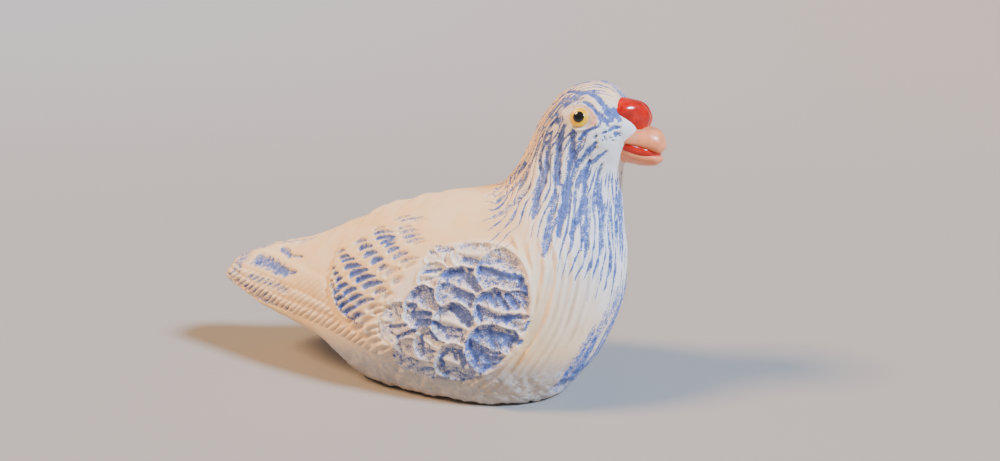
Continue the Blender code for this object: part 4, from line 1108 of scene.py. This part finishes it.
# Sections of the beak and the mouth, as those of the body
upperBeakSections = (
    (41.0, 79.2, 41.0, 76.6, 6.8, 0.30, 2.0, 3.0),
    (46.5, 80.4, 46.0, 76.0, 8.3, 0.20, 1.8, 3.4),
    (51.5, 81.2, 51.0, 74.7, 6.6, 0.28, 2.0, 3.2),
    (56.0, 79.9, 55.6, 73.3, 5.0, 0.36, 2.0, 2.8),
    (58.5, 76.9, 57.6, 73.1, 3.2, 0.42, 2.0, 2.2),
)
lowerBeakSections = (
    (41.0, 75.6, 41.0, 70.5, 4.9, 0.60, 3.0, 2.0),
    (46.5, 75.5, 47.2, 70.2, 7.1, 0.74, 3.6, 2.0),
    (51.5, 73.7, 51.5, 69.5, 5.6, 0.68, 3.2, 2.0),
    (55.0, 72.9, 54.8, 69.6, 4.6, 0.66, 3.0, 2.0),
    (57.5, 72.6, 57.2, 70.4, 3.0, 0.58, 2.6, 2.2),
)
mouthSections = (
    (42.0, 79.0, 42.0, 73.5, 5.6, 0.5, 2.6, 2.6),
    (47.0, 77.8, 47.0, 73.2, 7.5, 0.5, 2.8, 2.8),
    (52.0, 76.2, 52.0, 71.6, 5.9, 0.5, 2.6, 2.6),
    (56.9, 74.6, 56.6, 71.2, 3.7, 0.5, 2.4, 2.4),
)
cere = {
    "start": (44.0, 88.3),
    "crease": 1.1,  # mm
    "slope": -37.0,  # degrees
    "roundness": (0.5, 1.9, 2.1),
    # along the slope, above it and below it | half width
    "sections": (
        (-1.4, 0.3, -2.6, 3.4),
        (-0.4, 1.3, -3.9, 6.1),
        (1.0, 2.2, -5.2, 8.0),
        (2.7, 2.9, -6.1, 9.0),
        (4.5, 3.7, -6.7, 8.9),
        (6.4, 4.2, -6.8, 7.8),
        (8.5, 3.9, -6.5, 6.2),
        (10.6, 2.9, -5.5, 4.6),
        (12.5, 0.8, -4.0, 2.6),
    ),
}
small = {
    "rings": 56,
    "sides": 72,
    "dent": 0.06,  # mm, the unevenness of the brushed skin
    "creaseWidth": 2.0,  # mm, the crease between the cere's two halves
}


def cereSections():  # the cere's sections turned from its own slope
    along = np.array(axisAt(cere["slope"]))
    upward = np.array((-along[1], along[0]))
    sections = []
    for reach, above, below, halfWidth in cere["sections"]:
        spine = np.array(cere["start"]) + along * reach
        rim = (*(spine + upward * above), *(spine + upward * below))
        sections.append((*rim, halfWidth, *cere["roundness"]))
    return sections


def finishedPiece(name, points, *finishes):
    mesh = gridMesh(name, points * mm)
    for finish in finishes:
        mesh.materials.append(finish)
    mesh.shade_smooth()
    return linkObject(name, mesh)


def smallForm(name, sections, finish, seed, crease=0.0):
    points = sectionPoints(sections, evenSections(sections, small["rings"]), evenTurns(small["sides"]))
    dents = softNoise(points[..., 0] * 0.5 + points[..., 1] * 0.4, points[..., 2] * 0.6, seed)
    sunk = crease * np.exp(-((points[..., 1] / small["creaseWidth"]) ** 2))
    points = points + gridNormals(points) * (small["dent"] * (dents - 1.0) - sunk)[..., None]
    return finishedPiece(name, points, finish)


def eyePiece(name, side):  # a flattened ball half sunk into the head, with a raised pupil
    away = np.hypot(drawn[..., 0] - eye["at"][0], drawn[..., 2] - eye["at"][1])
    away = np.where(drawn[..., 1] * side > 0.0, away, np.inf)
    nearest = np.unravel_index(np.argmin(away), away.shape)
    ball, pupil = 0.5 * eye["diameter"], 0.5 * eye["pupil"]
    rim = math.acos(pupil / ball)
    foot = eye["rise"] * math.sin(rim) + eye["pupilStep"]
    ballRings, pupilRings = eye["rings"]
    quarter = 0.5 * math.pi
    profile = []
    for a in np.linspace(-quarter, rim, ballRings):
        profile.append((ball * math.cos(a), eye["rise"] * math.sin(a)))
    for a in np.linspace(0.0, quarter, pupilRings):
        profile.append((pupil * math.cos(a) ** 0.9, foot + (eye["pupilRise"] - foot) * math.sin(a)))
    turns = evenTurns(eye["sides"])
    rings = np.array([[(r * math.cos(t), r * math.sin(t), h) for t in turns] for r, h in profile])
    piece = finishedPiece(name, rings, finishes["yellowEnamel"], finishes["blackEnamel"])
    for face in piece.data.polygons:
        face.material_index = int(face.center.z > (foot - 0.6 * eye["pupilStep"]) * mm)
    turn = Vector(normals[nearest]).to_track_quat("Z", "Y").to_matrix().to_4x4()
    piece.data.transform(Matrix.Translation(Vector(drawn[nearest] * mm)) @ turn)
    return piece


print("head: cere, beak and eyes")
finishes = {name: enamel(name, *looks) for name, looks in enamels.items()}
pieces = [
    body,
    smallForm("cere", cereSections(), finishes["redEnamel"], 194, cere["crease"]),
    smallForm("upperBeak", upperBeakSections, finishes["pinkEnamel"], 195),
    smallForm("lowerBeak", lowerBeakSections, finishes["pinkEnamel"], 196),
    smallForm("mouth", mouthSections, finishes["redEnamel"], 197),
    eyePiece("rightEye", -1.0),
    eyePiece("leftEye", 1.0),
]
for piece in pieces:
    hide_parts("bird")
    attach(piece, "root")

print("studio")
studio = {
    "floor": "#a39c93",
    "world": "#e9edf2",
    "worldStrength": 0.28,
    # the floor is flat in the middle and sweeps up all round the bird, in metres
    "flatTo": 0.3,
    "sweepAt": 0.5,
    "sweepLength": 2.3,
    "sweepHeight": 0.75,
    "sweepRings": 29,
    "sweepSides": 128,
    "sweepPower": 2.5,
    "cameraAt": (87.12, -218.37, 85.0),  # mm
    "looksAlong": (-0.33781, 0.92812, -0.15643),
    "lens": 27.07,  # mm, on a sensor 36 mm wide
    "seen": (0.01, 50.0),  # metres from the camera
}
# a light's name, where it comes from, how soft it is in degrees, its strength and its colour
lights = (
    ("window", (1.0, -0.3, 0.85), 12.0, 7.8, "#c2dbff"),
    ("lamp", (-0.8, -0.6, 1.1), 16.0, 4.8, "#ffcf9c"),
)


def aimed(name, data, spotMm, towards):  # a light or camera that looks along a direction
    thing = linkObject(name, data)
    thing.location = Vector(spotMm) * mm
    thing.rotation_euler = Vector(towards).to_track_quat("-Z", "Y").to_euler()
    return thing


for name, comesFrom, softness, strength, colour in lights:
    light = bpy.data.lights.new(name, "SUN")
    light.angle = math.radians(softness)
    light.energy = strength
    light.color = hexColour(colour)[:3]
    aimed(name, light, Vector(comesFrom) * 600.0, -Vector(comesFrom))

climb = np.linspace(0.0, 1.0, studio["sweepRings"])
reaches = [studio["flatTo"], *(studio["sweepAt"] + studio["sweepLength"] * climb)]
heights = [0.0, *(studio["sweepHeight"] * climb ** studio["sweepPower"])]
sides = studio["sweepSides"]
points = [(r * math.cos(t), r * math.sin(t), h) for r, h in zip(reaches, heights) for t in evenTurns(sides)]
strips = [tuple(range(sides))]
for start in range(0, (len(reaches) - 1) * sides, sides):
    for side in range(sides):
        near, far = start + side, start + (side + 1) % sides
        strips.append((near + sides, far + sides, far, near))
floorMesh = bpy.data.meshes.new("floor")
floorMesh.from_pydata(points, [], strips)
floorMesh.shade_smooth()
floorLooks = {"Base Color": hexColour(studio["floor"]), "Roughness": 0.8}
floorMesh.materials.append(newFinish("paleFloor", floorLooks)[0])
floor = linkObject("floor", floorMesh)
floor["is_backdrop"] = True

world = bpy.data.worlds.new("studioAir")
world.use_nodes = True
world.node_tree.nodes["Background"].inputs[0].default_value = hexColour(studio["world"])
world.node_tree.nodes["Background"].inputs[1].default_value = studio["worldStrength"]
bpy.context.scene.world = world

camera = bpy.data.cameras.new("photoView")
camera.lens, camera.sensor_width = studio["lens"], 36.0
camera.clip_start, camera.clip_end = studio["seen"]
bpy.context.scene.camera = aimed("photoView", camera, studio["cameraAt"], studio["looksAlong"])
